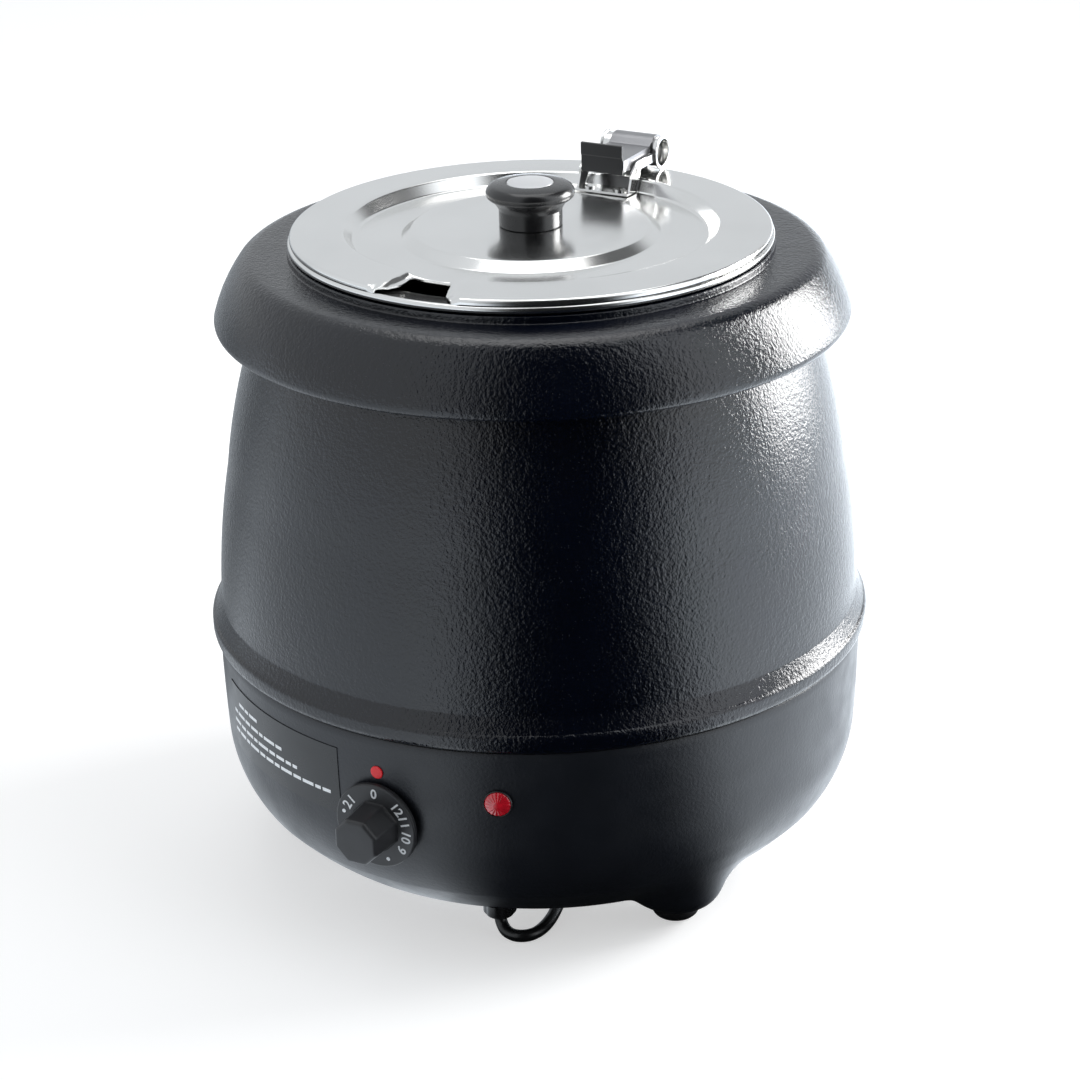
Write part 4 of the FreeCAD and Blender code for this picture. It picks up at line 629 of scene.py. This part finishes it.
def make_plug():
    """Moulded plug with a ribbed, tapered strain relief, and its pins."""
    y = PLUG_Y
    sections = [
        (-62.0, 4.0, 4.0, 3.95), (-58.0, 4.3, 4.3, 4.2), (-57.6, 3.7, 3.7, 3.6),
        (-55.4, 3.7, 3.7, 3.6), (-55.0, 4.5, 4.5, 4.4), (-51.6, 4.6, 4.6, 4.5),
        (-51.2, 3.9, 3.9, 3.8), (-49.0, 3.9, 3.9, 3.8), (-48.6, 4.7, 4.7, 4.6),
        (-45.2, 4.9, 4.9, 4.8), (-44.8, 4.1, 4.1, 4.0), (-42.6, 4.1, 4.1, 4.0),
        (-42.2, 5.0, 5.0, 4.9), (-36.0, 5.4, 5.4, 5.0), (-35.4, 8.2, 7.0, 5.5),
        (-33.6, 10.2, 8.6, 6.0), (-29.0, 11.4, 9.3, 6.0), (-22.0, 11.2, 9.2, 5.5),
        (-14.0, 12.2, 9.6, 4.5), (-7.0, 13.3, 9.9, 3.8), (-3.4, 13.5, 9.95, 3.4),
        (-2.3, 13.2, 9.6, 3.2), (-2.0, 12.5, 9.0, 3.0),
    ]
    body = raw(loft([rounded_box((x, y, PLUG_Z), (a, b), c) for x, a, b, c in sections]))
    plug = piece(body, "plug", CORD, stands_for=["plug_body"], sharp=50)
    tools = []
    for side in (-1, 1):
        near = y + side * BLADE_SPACING / 2 - BLADE_THICK / 2
        far = near + BLADE_THICK
        blade = trace([(near, 9.5), (far, 9.5), (far, 15.9), (near, 15.9)])
        tools.append(raw(prism(blade, -2.6, 15.0)))
    pin = soften(trace([(0, 0), (2.4, 0), (2.4, 20.5), (0, 20.5)]), 1.6, pieces=5)
    pins = raw(placed(turned(pin, 32), -2.0, y, 4.2, 90, "Y"))
    boolean(pins, tools, "UNION")
    piece(pins, "plug_blades", PINS, stands_for=["plug_pins"], bevel=0.25)
    return plug, pins


def make_tie():
    """Narrow strap round the coil's section that holds its turns together."""
    section = trace([(31.4, 0.1), (44.9, 0.1), (45.2, 6), (44.6, 12.9), (41.4, 18.9),
                     (34.6, 18.9), (31.2, 12.9), (30.9, 6)])
    outside = soften(section, 3.0, sharp=5)
    middle = Vector((38.0, 9.4))
    inside = [middle + (point - middle) * TIE_INSIDE for point in outside]
    rings = []
    for outline, side in ((outside, 1), (outside, -1), (inside, -1), (inside, 1)):
        rings.append([Vector((point.x, side * TIE_HALF, point.y)) for point in outline])
    mesh = bmesh.new()
    turn = Matrix.Rotation(math.radians(TIE_TURN), 3, "Z")
    made = [[mesh.verts.new((turn @ point + Vector((*COIL_CENTRE, 0))) * MM) for point in ring]
            for ring in rings]
    bridge(mesh, made + made[:1])
    bmesh.ops.recalc_face_normals(mesh, faces=mesh.faces)
    return piece(raw(mesh), "coil_tie", CORD, sharp=60)


# ---- lower casing

BOWL = [
    (96.0, 18.5), (126.3, 18.5, 15.4, LEFT), (136.1, 22.0, 128.5, LEFT),
    (152.9, 38.0, 63.1, LEFT), (163.64, 70.0, 990.0, LEFT), (165.0, 121.2), (164.6, 121.8),
]
LEG = [(0.0, 7.8), (12.6, 7.8, 13.0, LEFT), (24.0, 19.5), (29.5, 46.0), (0.0, 46.0)]
LEG_CIRCLE = 124.0
LEG_AZIMUTHS = {"right": 60.0, "rear": 180.0, "left": -60.0}
LEG_HEART = 40.0
LEG_REACH = 62
LEG_BLEND = 11.0
LEG_SPAN = 17.0
LEG_STEP = 0.45
HALVINGS = 22


def refined(points, longest):
    """The same line with long runs divided."""
    fine = [points[0]]
    for start, end in zip(points, points[1:]):
        pieces = max(1, math.ceil((end - start).length / longest(start)))
        fine += [start.lerp(end, step / pieces) for step in range(1, pieces + 1)]
    return fine


def distance_to(outline, places):
    """Signed distance (negative inside) from places to a closed outline, as numpy arrays."""
    best = np.full(len(places), np.inf)
    inside = np.zeros(len(places), bool)
    for start, end in zip(outline, np.roll(outline, -1, axis=0)):
        run = end - start
        share = np.clip(((places - start) @ run) / max(run @ run, 1e-12), 0, 1)
        gap = places - start - share[:, None] * run
        best = np.minimum(best, np.hypot(gap[:, 0], gap[:, 1]))
        crosses = (start[1] > places[:, 1]) != (end[1] > places[:, 1])
        rise = np.where(abs(run[1]) < 1e-12, 1e-12, run[1])
        left = places[:, 0] < run[0] * (places[:, 1] - start[1]) / rise + start[0]
        inside ^= crosses & left
    return np.where(inside, -best, best)


def make_base():
    """Bowl whose underside swells out into three legs, with its skin turned in at both edges."""
    outer = trace(BOWL, closed=False, turn_step=3.0, longest=4.0)
    outer = refined(outer, lambda p: 1.1 if 100 < p.x and p.y < 52 else 5.0)
    dense = [(azimuth - LEG_SPAN, azimuth + LEG_SPAN, LEG_STEP) for azimuth in (60.0, -60.0)]
    angles = [a for a in columns(180, dense) if not 162.6 < a < 197.4]
    angles = sorted(angles + list(np.arange(180.0 - LEG_SPAN, 197.1, LEG_STEP)))
    profile = np.array([tuple(p) for p in outer])
    bowl = np.vstack([profile, [[0.0, 121.8], [0.0, 18.5]]])
    leg = np.array([tuple(p) for p in trace(LEG, turn_step=6.0)])
    azimuth = np.radians(np.array(angles))
    grid = np.stack([profile[:, None, 0] * np.sin(azimuth), -profile[:, None, 0] * np.cos(azimuth),
                     np.repeat(profile[:, 1:2], len(angles), axis=1)], axis=2)
    places = grid.reshape(-1, 3)
    for leg_azimuth in LEG_AZIMUTHS.values():
        a = math.radians(leg_azimuth)
        heart = np.array([LEG_CIRCLE * math.sin(a), -LEG_CIRCLE * math.cos(a), LEG_HEART])
        near = np.linalg.norm(places - heart, axis=1) < LEG_REACH
        start = places[near]
        reach = np.linalg.norm(start - heart, axis=1)
        ray = (start - heart) / reach[:, None]

        def outside(length):
            """How far outside the blended surface the points at these lengths are."""
            spot = heart + ray * length[:, None]
            to_bowl = distance_to(bowl, np.stack([np.hypot(spot[:, 0], spot[:, 1]),
                                                  spot[:, 2]], axis=1))
            to_leg = distance_to(leg, np.stack([np.hypot(spot[:, 0] - heart[0],
                                                         spot[:, 1] - heart[1]),
                                                spot[:, 2]], axis=1))
            share = np.clip(0.5 + 0.5 * (to_leg - to_bowl) / LEG_BLEND, 0, 1)
            return to_leg * (1 - share) + to_bowl * share - LEG_BLEND * share * (1 - share)

        low, high = reach * 0.9, reach + 30.0
        for _ in range(HALVINGS):
            middle = (low + high) / 2
            out = outside(middle) > 0
            high = np.where(out, middle, high)
            low = np.where(out, low, middle)
        places[near] = heart + ray * low[:, None]
    inner = trace([(96.0, 20.7), (126.3, 20.7, 13.2, LEFT), (134.6, 23.5, 126.0, LEFT),
                   (151.1, 39.2, 61.0, LEFT), (161.44, 70.1, 988.0, LEFT), (162.8, 121.4)],
                  closed=False)
    mesh = bmesh.new()
    rings = [[mesh.verts.new(Vector(point) * MM) for point in row]
             for row in places.reshape(grid.shape)]
    for point in [Vector((162.9, 121.8))] + inner[::-1]:
        rings.append([mesh.verts.new(Vector((point.x * math.sin(a), -point.x * math.cos(a),
                                             point.y)) * MM) for a in azimuth])
    bridge(mesh, rings + rings[:1])
    bmesh.ops.recalc_face_normals(mesh, faces=mesh.faces)
    piece(raw(mesh), "base_casing", SATIN, stands_for=["base_shell"],
          sharp=50)


def make_feet():
    """Rubber buttons under the legs."""
    outline = trace([(5.2, 0.8), (6.2, 0.8), (7.0, 0.0), (7.9, 0.0, 4.6, LEFT), (12.0, 4.4),
                     (12.0, 7.2), (11.6, 7.6), (2.1, 7.6), (2.1, 3.2), (5.2, 3.2)])
    for name, leg_azimuth in LEG_AZIMUTHS.items():
        mesh = turned(soften(outline, 0.5), 48)
        mesh.transform(Matrix.Translation(direction(leg_azimuth, 0) * LEG_CIRCLE * MM))
        piece(raw(mesh), name + "_foot_rubber", RUBBER,
              stands_for=[name + "_foot"])


# ---- upper casing

WALL_SKIN = 1.2
COLLAR_SKIN = 2.0
POT_SKIN = 0.8
LID_SKIN = 0.7
ROUND = 240


def make_body():
    """Barrel-shaped wall whose lower edge is rolled out into a bead."""
    outline = trace([
        (164.6, 122.6, 4.3, LEFT), (168.4, 126.6), (168.4, 130.2, 3.4, LEFT), (166.9, 132.8),
        (163.2, 140.5, 430.0, LEFT), (155.6, 210.0, 330.0, LEFT), (132.6, 297.0),
        (127.6, 299.0)], closed=False)
    outline = refined(soften(outline, 2.2, closed=False), lambda p: 8.0)
    mesh = turned(shell(outline, WALL_SKIN), ROUND)
    piece(raw(mesh), "body_wall", HAMMERED, stands_for=["body_shell"],
          sharp=50)


def make_collar():
    """Thick rounded ring that carries the pot."""
    outline = trace([
        (152.0, 283.8, 3.9, LEFT), (157.3, 288.2, 80.0, LEFT), (144.6, 313.6, 11.3, LEFT),
        (137.8, 317.4), (119.8, 317.2), (119.8, 320.8), (113.5, 320.8), (113.5, 317.8)],
        closed=False)
    outline = refined(soften(outline, 0.8, closed=False), lambda p: 8.0)
    mesh = turned(shell(outline, COLLAR_SKIN), ROUND)
    rib = soften(trace([(118.0, 312.0), (120.4, 312.0), (120.4, 316.4), (118.0, 316.4)]), 0.3)
    ring = raw(turned(rib, 120))
    collar = raw(mesh)
    boolean(collar, [ring], "UNION")
    piece(collar, "collar_ring", HAMMERED, stands_for=["top_collar"],
          sharp=50)


# ---- pot and lid

ROLL_CENTRE = (117.7, 323.2)
ROLL_RADIUS = 1.8


def make_pot():
    """Lift-out pot with a flared flange and a rolled rim."""
    outer = trace([(0.0, 62.0), (80.5, 62.0, 20.0, LEFT), (100.5, 82.0), (100.5, 317.0),
                   (103.5, 322.4), (116.2, 323.15)], closed=False)
    outer = refined(soften(outer, 2.2, closed=False), lambda p: 12.0)
    wall = shell(outer, POT_SKIN)
    half = len(outer)
    roll = [Vector(ROLL_CENTRE) + Vector((math.cos(a), math.sin(a))) * ROLL_RADIUS
            for a in np.radians(np.arange(200, 500, 20))]
    mesh = turned(wall[:half] + roll + wall[half:], 200)
    piece(raw(mesh), "pot_wall", POLISHED, body="pot",
          stands_for=["inner_pot"], sharp=50)


LID = [
    (0.0, 328.1), (20.0, 328.1), (58.5, 327.7), (64.0, 323.3), (87.4, 322.7), (92.4, 328.9),
    (116.6, 328.1, 2.0, RIGHT), (118.4, 326.4), (118.4, 325.35),
]
CUT_LOW = 318.0
CUT_HIGH = 332.0
PRESS_DEEP = 2.7
PRESS_LESS_AT_RIM = 1.5
RIM_FROM = 110.0
NOTCH = [(-12.6, -93.6), (-12.8, -103.0), (-16.5, -110.5), (-23.0, -122.0), (27.5, -122.0),
         (24.0, -118.2), (18.8, -114.6), (14.7, -109.5), (11.4, -101.8), (8.8, -93.9)]


def clamped(value):
    """The value, kept between 0 and 1."""
    return min(max(value, 0.0), 1.0)


def press_notch(mesh):
    """Press the lid down round its ladle notch, between two creases."""
    for vertex in mesh.verts:
        x, y, z = vertex.co / MM
        if y > -88 or abs(x) > 40 or z < 324.5:
            continue
        right = clamped((9.0 + (-y - 94.0) * 0.56 + 4.6 - x) / 5.2)
        left = clamped((x + 17.5 + max(-y - 107, 0) * 0.8) / 3.5)
        inner = clamped((-y - 89.5) / 4.0)
        depth = PRESS_DEEP - PRESS_LESS_AT_RIM * clamped((math.hypot(x, y) - RIM_FROM) / 5.0)
        both = min(right, left)
        vertex.co.z -= depth * both * both * (3 - 2 * both) * inner * MM


def make_lid():
    """Pressed lid with a ladle notch at the front and a slot for the hinge clip."""
    outline = trace(LID, closed=False, turn_step=12.0)
    outline = refined(soften(outline, 2.6, closed=False, pieces=4, sharp=8.0), lambda p: 6.0)
    mesh = turned(shell(outline, -LID_SKIN), 200, dense=[(-16.0, 16.0, 0.4)])
    press_notch(mesh)
    lid = raw(mesh)
    notch = raw(prism(trace(NOTCH), CUT_LOW, CUT_HIGH, level=True))
    slot = soften(trace([(-8.3, 114.4), (8.3, 114.4), (8.3, 119.5), (-8.3, 119.5)]), 1.2)
    slot = raw(prism(slot, CUT_LOW, CUT_HIGH, level=True))
    boolean(lid, [notch, slot], "DIFFERENCE")
    piece(lid, "lid_panel", POLISHED, body="lid", stands_for=["lid"],
          sharp=40)


def make_lid_knob():
    """Mushroom knob with an inlaid disc."""
    outline = trace([
        (2.45, 328.2), (15.2, 328.2), (15.6, 328.7), (15.6, 336.2, 16.0, RIGHT), (18.2, 340.2),
        (20.9, 342.2, 2.4, LEFT), (21.8, 344.0), (21.8, 345.2, 5.2, LEFT), (18.6, 348.5),
        (11.9, 349.5), (11.7, 349.2), (11.7, 348.2), (0.0, 348.2), (0.0, 342.0), (2.45, 342.0)])
    piece(raw(turned(soften(outline, 0.5), 96)), "knob_body", KNOB_BLACK, body="lid",
          stands_for=["lid_knob"], sharp=45)
    cap = trace([(0.0, 348.2), (11.55, 348.2), (11.55, 349.1), (11.2, 349.5, 140.0, LEFT),
                 (0.0, 350.0)])
    piece(raw(turned(soften(cap, 0.2), 72)), "knob_disc", CAP_SILVER, body="lid",
          stands_for=["lid_knob_cap"], sharp=45)


# ---- hinge

PIN_Y = 115.5
PIN_Z = 336.8
CURL = 8.9
LEVER_LEFT = -10.8
LEVER_RIGHT = 12.6
LEVER_SHEET = 1.1
SPRING_Y = 97.5
SPRING_LOW = 329.7
SPRING_RADIUS = 3.6
SPRING_WIRE = 0.5
SPRING_STEPS = 96
SPRING_TURN = 22.5
SPRING_RISE = 0.063


def plate(outline, low, high, corner=0.6):
    """A sheet plate with rounded corners, cut to an outline in Y and Z."""
    return raw(prism(soften(trace(outline), corner), low, high))


def make_bracket():
    """Bracket riveted to the lid, with its two ears, and the barrels and pin they carry."""
    ear = [(78.0, 323.45), (84.5, 323.45), (91.2, 331.0), (91.2, 333.8), (109.5, 333.8),
           (109.5, 338.2), (88.5, 338.2), (81.0, 333.8), (81.0, 331.0)]
    slot = [(85.0, 332.6), (87.0, 332.6), (87.0, 336.2), (85.0, 336.2)]
    base = plate([(75.2, 323.45), (86.5, 323.45), (86.5, 324.65), (75.2, 324.65)], -15.2, 15.2,
                 0.3)
    ears = [plate(ear, 14.0, 15.2, 1.4), plate(ear, -15.2, -14.0, 1.4)]
    boolean(base, ears, "UNION")
    boolean(base, [plate(slot, -16.0, 16.0, 0.9)], "DIFFERENCE")
    piece(base, "bracket_plate", POLISHED, body="lid",
          stands_for=["hinge_bracket"], bevel=0.22)
    for name, side in (("left", -1), ("right", 1)):
        outline = trace([
            (3.52, side * 7.9), (7.7, side * 7.9), (7.7, side * 15.3), (8.7, side * 15.5),
            (8.7, side * 16.5), (6.9, side * 16.5), (6.9, side * 11.0), (3.52, side * 11.0)])
        mesh = placed(turned(soften(outline, 0.3), 64), 0, PIN_Y, PIN_Z, 90, "Y")
        piece(raw(mesh), name + "_barrel", POLISHED, body="lid",
              stands_for=[name + "_hinge_barrel"])
    pin = trace([(0.0, -12.6), (5.2, -12.6), (5.2, -11.2), (3.5, -11.2), (3.5, 11.2),
                 (5.2, 11.2), (5.2, 12.6), (0.0, 12.6)])
    piece(raw(placed(turned(soften(pin, 0.5), 48), 0, PIN_Y, PIN_Z, 90, "Y")), "pin_bar", ZINC,
          body="lid", stands_for=["hinge_pin"])


def make_clip():
    """Clip over the pot's rim with the middle knuckle of the hinge."""
    knuckle = raw(placed(turned(soften(trace([(3.56, -7.5), (7.4, -7.5), (7.4, 7.5),
                                              (3.56, 7.5)]), 0.3), 64), 0, PIN_Y, PIN_Z, 90, "Y"))
    web = plate([(115.3, 325.3), (120.1, 325.3), (120.1, 321.7), (121.2, 321.7), (121.2, 331.0),
                 (115.3, 331.0)], -7.5, 7.5, 0.4)
    tongue = plate([(111.6, 324.3), (117.3, 325.3), (117.3, 326.3), (114.3, 326.2),
                    (111.6, 325.1)], -7.5, 7.5, 0.3)
    boolean(web, [tongue], "UNION")
    bore = raw(placed(turned(trace([(0.0, -9.0), (5.0, -9.0), (5.0, 9.0), (0.0, 9.0)]), 48),
                      0, PIN_Y, PIN_Z, 90, "Y"))
    boolean(web, [bore], "DIFFERENCE")
    boolean(knuckle, [web], "UNION")
    piece(knuckle, "clip_plate", POLISHED, body="pot",
          stands_for=["pot_clip"], bevel=0.2)


def make_lever():
    """Thumb lever: a plate that wraps the barrels, two cheeks and an upright hemmed tab."""
    start, end = [Vector((PIN_Y + CURL * math.cos(turn), PIN_Z + CURL * math.sin(turn)))
                  for turn in (math.radians(128.0), math.radians(56.0))]
    outline = trace([(75.6, 341.5), (107.1, 341.5), (start.x, start.y, CURL, RIGHT),
                     (end.x, end.y)], closed=False, turn_step=6.0)
    sheet = raw(prism(shell(soften(outline, 2.0, closed=False), -LEVER_SHEET),
                      LEVER_LEFT, LEVER_RIGHT))
    cheek = [(75.6, 336.5), (82.0, 335.0), (100.0, 335.0), (106.8, 338.8), (106.8, 341.0),
             (75.6, 341.0)]
    cheeks = [plate(cheek, LEVER_RIGHT - LEVER_SHEET, LEVER_RIGHT, 1.2),
              plate(cheek, LEVER_LEFT, LEVER_LEFT + LEVER_SHEET, 1.2)]
    boolean(sheet, cheeks, "UNION")
    # painted sheen: the top sheet takes the grey finish, while the tab keeps the lever's own black
    piece(sheet, "lever_sheet", LEVER_SHEEN_GREY, body="lever",
          stands_for=["clip_lever"], bevel=0.3)
    tab = plate([(75.5, 334.3), (76.9, 334.3), (77.0, 349.4), (75.0, 349.4), (75.0, 343.4),
                 (75.5, 342.6)], LEVER_LEFT, LEVER_RIGHT, 0.35)
    piece(tab, "lever_tab", LEVER_BLACK, body="lever", bevel=0.35)


def make_spring():
    """Return spring under the lever, short enough to leave it room when it is pressed."""
    rings = []
    for step in range(SPRING_STEPS + 1):
        out = direction(step * SPRING_TURN, 0)
        centre = Vector((0, SPRING_Y, SPRING_LOW + step * SPRING_RISE)) + out * SPRING_RADIUS
        rings.append([(centre + (out * math.cos(a) + Vector((0, 0, math.sin(a)))) * SPRING_WIRE)
                      * MM for a in np.radians(np.arange(0, 360, 45))])
    piece(raw(loft(rings)), "spring_wire", POLISHED, body="lid",
          stands_for=["lever_spring"], sharp=80)


# ---- dial, marks and lamp

DIAL_HEIGHT = 77.0
DIAL_BACK = 166.4
# across, height, corner radius
GRIP = [(26.0, 1.0, 2.0), (25.0, 2.7, 2.0), (24.1, 3.6, 2.0), (23.9, 4.6, 2.0), (22.9, 19.0, 2.0),
        (22.3, 20.2, 2.2), (20.9, 21.05, 2.6), (19.0, 21.4, 3.0), (9.0, 21.4, 2.0)]
DIGIT_SIZE = 6.9
DIGIT_CIRCLE = 16.9
DOT_CIRCLE = 17.6
DOT_CLOCKS = (-76, 158)
DIAL_MARKS = [("0", 0), ("12", 47), ("11", 70), ("10", 97), ("9", 124), ("1", -47), ("2", -61)]
MARK_BACK = 164.9
DOT_HEIGHT = 104.0
LAMP_AZIMUTH = 21.0
LAMP_HEIGHT = 96.0
LENS_WAVES = 9
LENS_DIP = 0.42

# rows of bars: height, then the azimuths between which they run
BAR_ROWS = [(102.3, -37.8, -29.0), (96.3, -40.6, -21.6), (90.6, -40.9, -18.0),
            (85.4, -40.9, -10.0)]
BAR_SPANS = (2.3, 1.5, 3.1, 2.0, 2.7, 1.3, 3.4, 1.8)
BAR_GAP = 0.45
BAR_HALF = 0.9
LABEL_LOW = 75.0
LABEL_TALL = 36.0
LABEL_RADIUS = 164.3
LABEL_FLARE = 1.03
LABEL_SWELL = 0.64


def on_wall(mesh, azimuth, height, back):
    """A mesh whose Z points out of the wall at an azimuth."""
    mesh.transform(Matrix.Translation(direction(azimuth, 0) * back * MM
                                      + Vector((0, 0, height * MM)))
                   @ Matrix.Rotation(math.radians(azimuth), 4, "Z")
                   @ Matrix.Rotation(math.pi / 2, 4, "X"))
    return mesh


def octagon(across, height, corner):
    """Ring of an octagon with rounded corners at a height, in metres."""
    radius = across / 2 / math.cos(math.pi / 8)
    points = [Vector((radius * math.cos(math.pi / 8 + math.pi / 4 * k),
                      radius * math.sin(math.pi / 8 + math.pi / 4 * k))) for k in range(8)]
    rounded = soften(points, corner, pieces=4)
    return [Vector((p.x, p.y, height)) * MM for p in rounded]


def make_dial():
    """Skirted dial with an eight-sided grip and its printed scale."""
    skirt = trace([(0.0, 0.0), (21.8, 0.0), (21.8, 1.7, 1.0, LEFT), (20.9, 2.6), (0.0, 2.7)])
    body = raw(turned(soften(skirt, 0.2), 128))
    grip = raw(loft([octagon(*section) for section in GRIP]))
    boolean(body, [grip], "UNION")
    bore = raw(turned(trace([(0.0, -1.0), (3.02, -1.0), (3.02, 15.6), (0.0, 15.6)]), 32))
    boolean(body, [bore], "DIFFERENCE")
    on_wall(body.data, 0.0, DIAL_HEIGHT, DIAL_BACK)
    piece(body, "dial_body", DIAL_BLACK, body="dial",
          stands_for=["control_knob"], sharp=30, flat_first=True)
    mesh = bmesh.new()
    for text, clock in DIAL_MARKS:
        curve = bpy.data.curves.new("mark", "FONT")
        curve.body = text
        curve.size = DIGIT_SIZE * MM
        curve.extrude = 0.09 * MM
        curve.align_x = "CENTER"
        curve.align_y = "CENTER"
        curve.offset = 0.13 * MM
        curve.resolution_u = 3
        thing = shown("mark", curve)
        bpy.context.view_layer.update()
        data = bpy.data.meshes.new_from_object(
            thing.evaluated_get(bpy.context.evaluated_depsgraph_get()))
        data.transform(Matrix.Rotation(math.radians(-clock), 4, "Z")
                       @ Matrix.Translation(Vector((0, DIGIT_CIRCLE, 2.66)) * MM))
        mesh.from_mesh(data)
        bpy.data.objects.remove(thing)
    for clock in DOT_CLOCKS:
        dot = turned(trace([(0.0, 2.5), (1.0, 2.5), (1.0, 2.75), (0.0, 2.75)]), 16)
        placed(dot, DOT_CIRCLE * math.sin(math.radians(clock)),
               DOT_CIRCLE * math.cos(math.radians(clock)), 0)
        data = bpy.data.meshes.new("dot")
        dot.to_mesh(data)
        mesh.from_mesh(data)
    piece(raw(on_wall(mesh, 0.0, DIAL_HEIGHT, DIAL_BACK)), "dial_numbers", PRINT_WHITE,
          body="dial")


def make_bars():
    """Four rows of plain bars on the notice plate, in place of its print."""
    mesh = bmesh.new()
    for row, (height, start, end) in enumerate(BAR_ROWS):
        rise = (height - LABEL_LOW) / LABEL_TALL
        radius = LABEL_RADIUS + LABEL_FLARE * rise + LABEL_SWELL * rise * (1 - rise)
        count = row
        while start < end - 1.0:
            stop = min(start + BAR_SPANS[count % len(BAR_SPANS)], end)
            rings = []
            for azimuth in np.linspace(start, stop, 4):
                out = direction(azimuth, 0)
                rings.append([mesh.verts.new((out * r + Vector((0, 0, height + z))) * MM)
                              for r, z in ((radius - 0.1, -BAR_HALF), (radius + 0.05, -BAR_HALF),
                                           (radius + 0.05, BAR_HALF), (radius - 0.1, BAR_HALF))])
            bridge(mesh, rings)
            mesh.faces.new(rings[0][::-1])
            mesh.faces.new(rings[-1])
            start = stop + BAR_GAP
            count += 1
    bmesh.ops.recalc_face_normals(mesh, faces=mesh.faces[:])
    piece(raw(mesh), "notice_bars", PRINT_WHITE)


def make_marks():
    """Red setting dot above the dial, and the signal lamp's bezel and faceted lens."""
    dot = trace([(0.0, 0.0), (3.3, 0.0), (3.3, 0.35, 0.5, LEFT), (2.9, 0.65), (0.0, 0.7)])
    piece(raw(on_wall(turned(dot, 40), 0.0, DOT_HEIGHT, MARK_BACK)), "setting_dot", RED_PAINT,
          stands_for=["reference_dot"])
    bezel = trace([(6.3, 0.0), (7.0, 0.0), (7.0, 0.6, 0.9, LEFT), (6.6, 1.4), (6.3, 1.2)])
    piece(raw(on_wall(turned(soften(bezel, 0.15), 64), LAMP_AZIMUTH, LAMP_HEIGHT, MARK_BACK)),
          "lamp_bezel", BEZEL, stands_for=["indicator_bezel"])
    lens = turned(trace([(0.0, 0.0), (6.2, 0.0), (6.2, 1.5, 11.1, LEFT), (0.0, 3.4)],
                        turn_step=3.0), 72)
    for vertex in lens.verts:
        radius = math.hypot(vertex.co.x, vertex.co.y) / MM
        angle = math.atan2(vertex.co.y, vertex.co.x)
        ridge = abs(math.sin(angle * LENS_WAVES)) * min(radius / 6.4, 1)
        if vertex.co.z > 0.5 * MM and radius > 2.4:
            vertex.co.z -= LENS_DIP * ridge * MM
    piece(raw(on_wall(lens, LAMP_AZIMUTH, LAMP_HEIGHT, MARK_BACK)), "lamp_lens", LAMP_RED,
          stands_for=["indicator_lens"], sharp=80)


# ---- cord gland

GLAND_PLACE = (37.6, -117.2, 0)
GLAND_DIP = 0.5


def make_gland():
    """Moulded gland: a six-sided collar over a dome, bored for the cord."""
    outline = trace([(3.15, 12.3), (3.15, 10.4), (4.9, 10.4, 4.4, LEFT), (8.3, 13.3),
                     (8.3, 18.3), (6.2, 18.4), (6.2, 28.0), (3.15, 28.0)], turn_step=6.0)
    mesh = turned(soften(outline, 0.25), 96)
    for vertex in mesh.verts:
        radius = math.hypot(vertex.co.x, vertex.co.y) / MM
        if radius > 6.9 and vertex.co.z < 18.35 * MM:
            angle = math.atan2(vertex.co.y, vertex.co.x)
            dip = abs(math.cos(angle * 3)) ** 6 * GLAND_DIP
            vertex.co.x *= 1 - dip / radius
            vertex.co.y *= 1 - dip / radius
    piece(raw(placed(mesh, *GLAND_PLACE)), "gland_body", KNOB_BLACK,
          stands_for=["cord_gland"], sharp=50)


CARRIED = {
    "zinc_steel": ZINC, "galvanised_sheet": GALVANISED, "stainless_brushed": BRUSHED,
    "stainless_polished": POLISHED, "silicone": SILICONE, "aluminium_plate": ALUMINIUM,
    "phenolic_black": KNOB_BLACK, "bezel_black": BEZEL, "label_black": LABEL,
    "nylon_white": NYLON, "copper": COPPER, "cord_black": CORD, "brass_pins": PINS,
    "black_satin": SATIN, "black_hammered": HAMMERED, "black_rubber": RUBBER,
}


def finish_carried():
    """Finish for each CAD node that is still shown, by its material slot in the record."""
    slots = {entry["node"]: entry["material_slot"] for entry in frame["record"]["subparts"]}
    for name, thing in frame["nodes"].items():
        if not thing.hide_render:
            coated(thing, CARRIED.get(slots.get(name), ZINC))


# ---- build

bpy.context.scene.view_settings.view_transform = "Standard"
make_camera()
make_world()
softbox("top_light", azimuth=200, elevation=78, distance=1.9, width=1.5, height=1.2,
        radiance=1.6)
softbox("right_light", azimuth=137, elevation=16, distance=1.5, width=0.8, height=1.0,
        radiance=16.0)

cord = make_cord()
plug, pins = make_plug()
tie = make_tie()

make_base()
make_feet()
make_body()
make_collar()
make_pot()
make_lid()
make_lid_knob()
make_bracket()
make_clip()
make_lever()
make_spring()
make_dial()
make_marks()
make_bars()
make_gland()
finish_carried()

make_floor()
